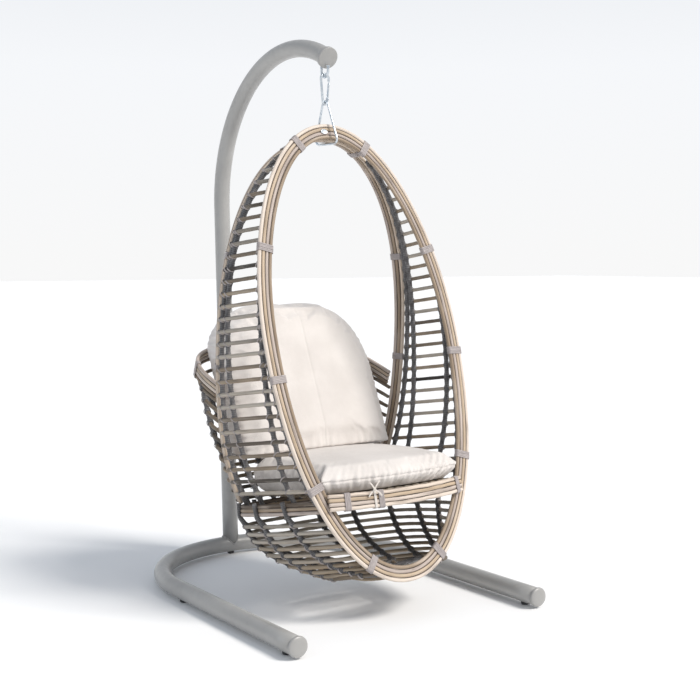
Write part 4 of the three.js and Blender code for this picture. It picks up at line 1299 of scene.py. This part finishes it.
def back_pad_rows(side_shrink, shrink, count=96):
    """Outlines from the foot to the top, flatter in front and fuller behind."""
    rows = []
    low = np.linspace(BACK_FIRST + 0.006, RIM_TOP, 14)
    high = lerp(RIM_TOP, BACK_TOP - 0.012, np.sin(np.linspace(0, 1, 12)[1:] * math.pi / 2))
    a = np.arange(count) * 2 * math.pi / count
    s = np.sin(a)
    for z in np.r_[low, high]:
        half, front, thick = back_level(z)
        half, thick = half - side_shrink, thick - 2 * shrink
        swell = thick * np.where(s > 0, 0.6, 0.4) * power(s, np.where(s > 0, 0.9, 0.42))
        y = front + shrink + 0.4 * thick + swell
        rows.append(np.stack([half * power(np.cos(a), 0.42), y, np.full(count, z)], 1))
    return rows


def make_back_cushion():
    mesh, co, no = puffed("back_pad", back_pad_rows(0.004, 0.010), 0.007, 0.014)
    facing = np.clip(-no[:, 1] * 1.6 - 0.1, 0, 1)
    # two seams run up the front
    for x, depth in ((-0.134, 0.6), (0.005, 1.0)):
        fold = 0.0022 * bell(co[:, 0] - x, 0.0035)
        fold += 0.0016 * bell(co[:, 0] - x, 0.025)
        co -= no * (depth * facing * fold)[:, None]
    # gathers along the front's edge, and at its foot
    level = np.array([back_level(z)[0] for z in np.clip(co[:, 2], BACK_FIRST, BACK_TOP)])
    rim = bell(level - np.abs(co[:, 0]), 0.045)
    pucker = np.sin(co[:, 2] * 310 + 60 * np.abs(co[:, 0]))
    pucker += 0.7 * np.sin(co[:, 2] * 190 - 45 * co[:, 0] + 1)
    co += no * (0.0014 * pucker * rim)[:, None]
    foot = bell(co[:, 2] - BACK_FIRST - 0.02, 0.035)
    co += no * (0.0014 * np.sin(co[:, 0] * 170 + 2 * np.sin(co[:, 0] * 31)) * foot * facing)[:, None]
    cover("back_cushion_cover", "back_cushion", mesh, co)


def make_tie():
    """Tape round the rail, and its two ends crossed up to the cushion."""
    k = RAIL.nearest("cushion_tie")
    RAIL.bind("tie_loop", "cushion_tie", k, TIE_WIDTH, 1, TAPE, 0.0011)
    strands = Strands()
    base = RAIL.points[k]
    t = np.linspace(0, 1, 14)
    for lean in (-1, 1):
        x = base[0] + lean * (0.024 - 0.048 * t)
        y = base[1] - 0.0115 + 0.005 * t - 0.004 * lean
        z = RAIL_Z + 0.012 + 0.046 * t + 0.002 * np.sin(t * 9)
        strands.add(np.stack([x, y, z], 1), P(1, 0, 0.3 * lean), ribbon(0.006, 0.001))
    basket_piece("tie_ends", strands, TAPE)


def make_badge():
    """Blank oval plate with a raised rim, turned round and then stretched."""
    mesh = lathe([(0, 0), (1.0, 0), (1.0, 0.0013), (0.9, 0.0017), (0.86, 0.0012), (0, 0.0012)],
                 0.0001, 48, 3)
    stretch = Matrix.Diagonal((0.0148, 0.0088, 1, 1))
    tilt = Matrix.Rotation(math.pi / 2 - math.atan(FRONT_LEAN), 4, "X")
    centre = BASKET.inverted() @ middle("badge_plate")
    mesh.transform(Matrix.Translation(centre + Vector(BACK_NORMAL) * 0.0007) @ tilt @ stretch)
    piece("badge_oval", mesh, "basket", ZINC, ["badge_plate"])


# ---- camera, light and floor ---------------------------------------------------------

LENS = 63.44
LENS_SHIFT = -0.0071
CAMERA_AT = (-2.4126, HOOK_Y - 3.7017, 1.209)
CAMERA_DOWN = 4.01
CAMERA_RIGHT = 34.25
FLOOR_HALF = 60.0
# direction that the camera looks in, in plan, and how the backdrop's brightness follows it
AHEAD = (0.56, 0.83, 0)
SIDE_RANGE = (-0.5, 0.75, 0.74, 1.0)
SKY = (0.0, (0.94, 0.94, 0.94)), (0.15, (0.92, 0.935, 0.96)), (0.6, (0.52, 0.56, 0.62))
# name, strength, colour, rotation in degrees and softness of each sun
LAMPS = (("sun", 3.0, (1.0, 0.955, 0.90), (46, 0, 30), 0.35),
         ("sky_left", 0.25, (0.7, 0.83, 1.0), (62, 0, -100), 0.6))


def make_camera():
    data = bpy.data.cameras.new("camera")
    data.lens = LENS
    data.sensor_width = 36
    data.shift_y = LENS_SHIFT
    camera = add_object("camera", data)
    camera.location = CAMERA_AT
    camera.rotation_euler = (math.radians(90 - CAMERA_DOWN), 0, math.radians(-CAMERA_RIGHT))
    bpy.context.scene.camera = camera


def backdrop(tree):
    """Bright behind the chair near the horizon, softly greyer overhead and on the camera's side."""
    def add(kind):
        return tree.nodes.new(kind)

    sky = tree.nodes["Background"]
    sky.inputs["Strength"].default_value = 1.0
    where = add("ShaderNodeTexCoord").outputs["Generated"]
    split, ahead, side = add("ShaderNodeSeparateXYZ"), add("ShaderNodeVectorMath"), add("ShaderNodeMapRange")
    height, shade = add("ShaderNodeValToRGB"), add("ShaderNodeVectorMath")
    ahead.operation = "DOT_PRODUCT"
    ahead.inputs[1].default_value = AHEAD
    shade.operation = "SCALE"
    set_stops(height, SKY)
    for value, socket in zip(SIDE_RANGE, side.inputs[1:5]):
        socket.default_value = value
    for out, socket in ((where, split.inputs[0]), (where, ahead.inputs[0]),
                        (split.outputs["Z"], height.inputs["Fac"]),
                        (ahead.outputs["Value"], side.inputs[0]),
                        (height.outputs["Color"], shade.inputs[0]),
                        (side.outputs[0], shade.inputs["Scale"]),
                        (shade.outputs[0], sky.inputs["Color"])):
        tree.links.new(out, socket)


def make_light():
    scene = bpy.context.scene
    scene.view_settings.view_transform = "Standard"
    scene.world = bpy.data.worlds.new("sky")
    scene.world.use_nodes = True
    backdrop(scene.world.node_tree)
    for name, energy, colour, spin, size in LAMPS:
        data = bpy.data.lights.new(name, "SUN")
        data.energy = energy
        data.color = colour
        data.angle = size
        add_object(name, data).rotation_euler = [math.radians(a) for a in spin]


def make_floor():
    mesh = bpy.data.meshes.new("floor")
    s = FLOOR_HALF
    mesh.from_pydata([(-s, -s, 0), (s, -s, 0), (s, s, 0), (-s, s, 0)], [], [(0, 1, 2, 3)])
    mesh.materials.append(floor_look())
    floor = add_object("floor", mesh)
    floor.location.z = -0.0005


make_camera()
make_light()
make_floor()
make_eye(*make_stand())
make_snap_hook()
make_ring()
make_bundles()
make_bindings()
make_badge()
make_side(-1, "left")
make_side(1, "right")
make_wall()
make_bowl()
make_deck()
make_seat_cushion()
make_back_cushion()
make_tie()
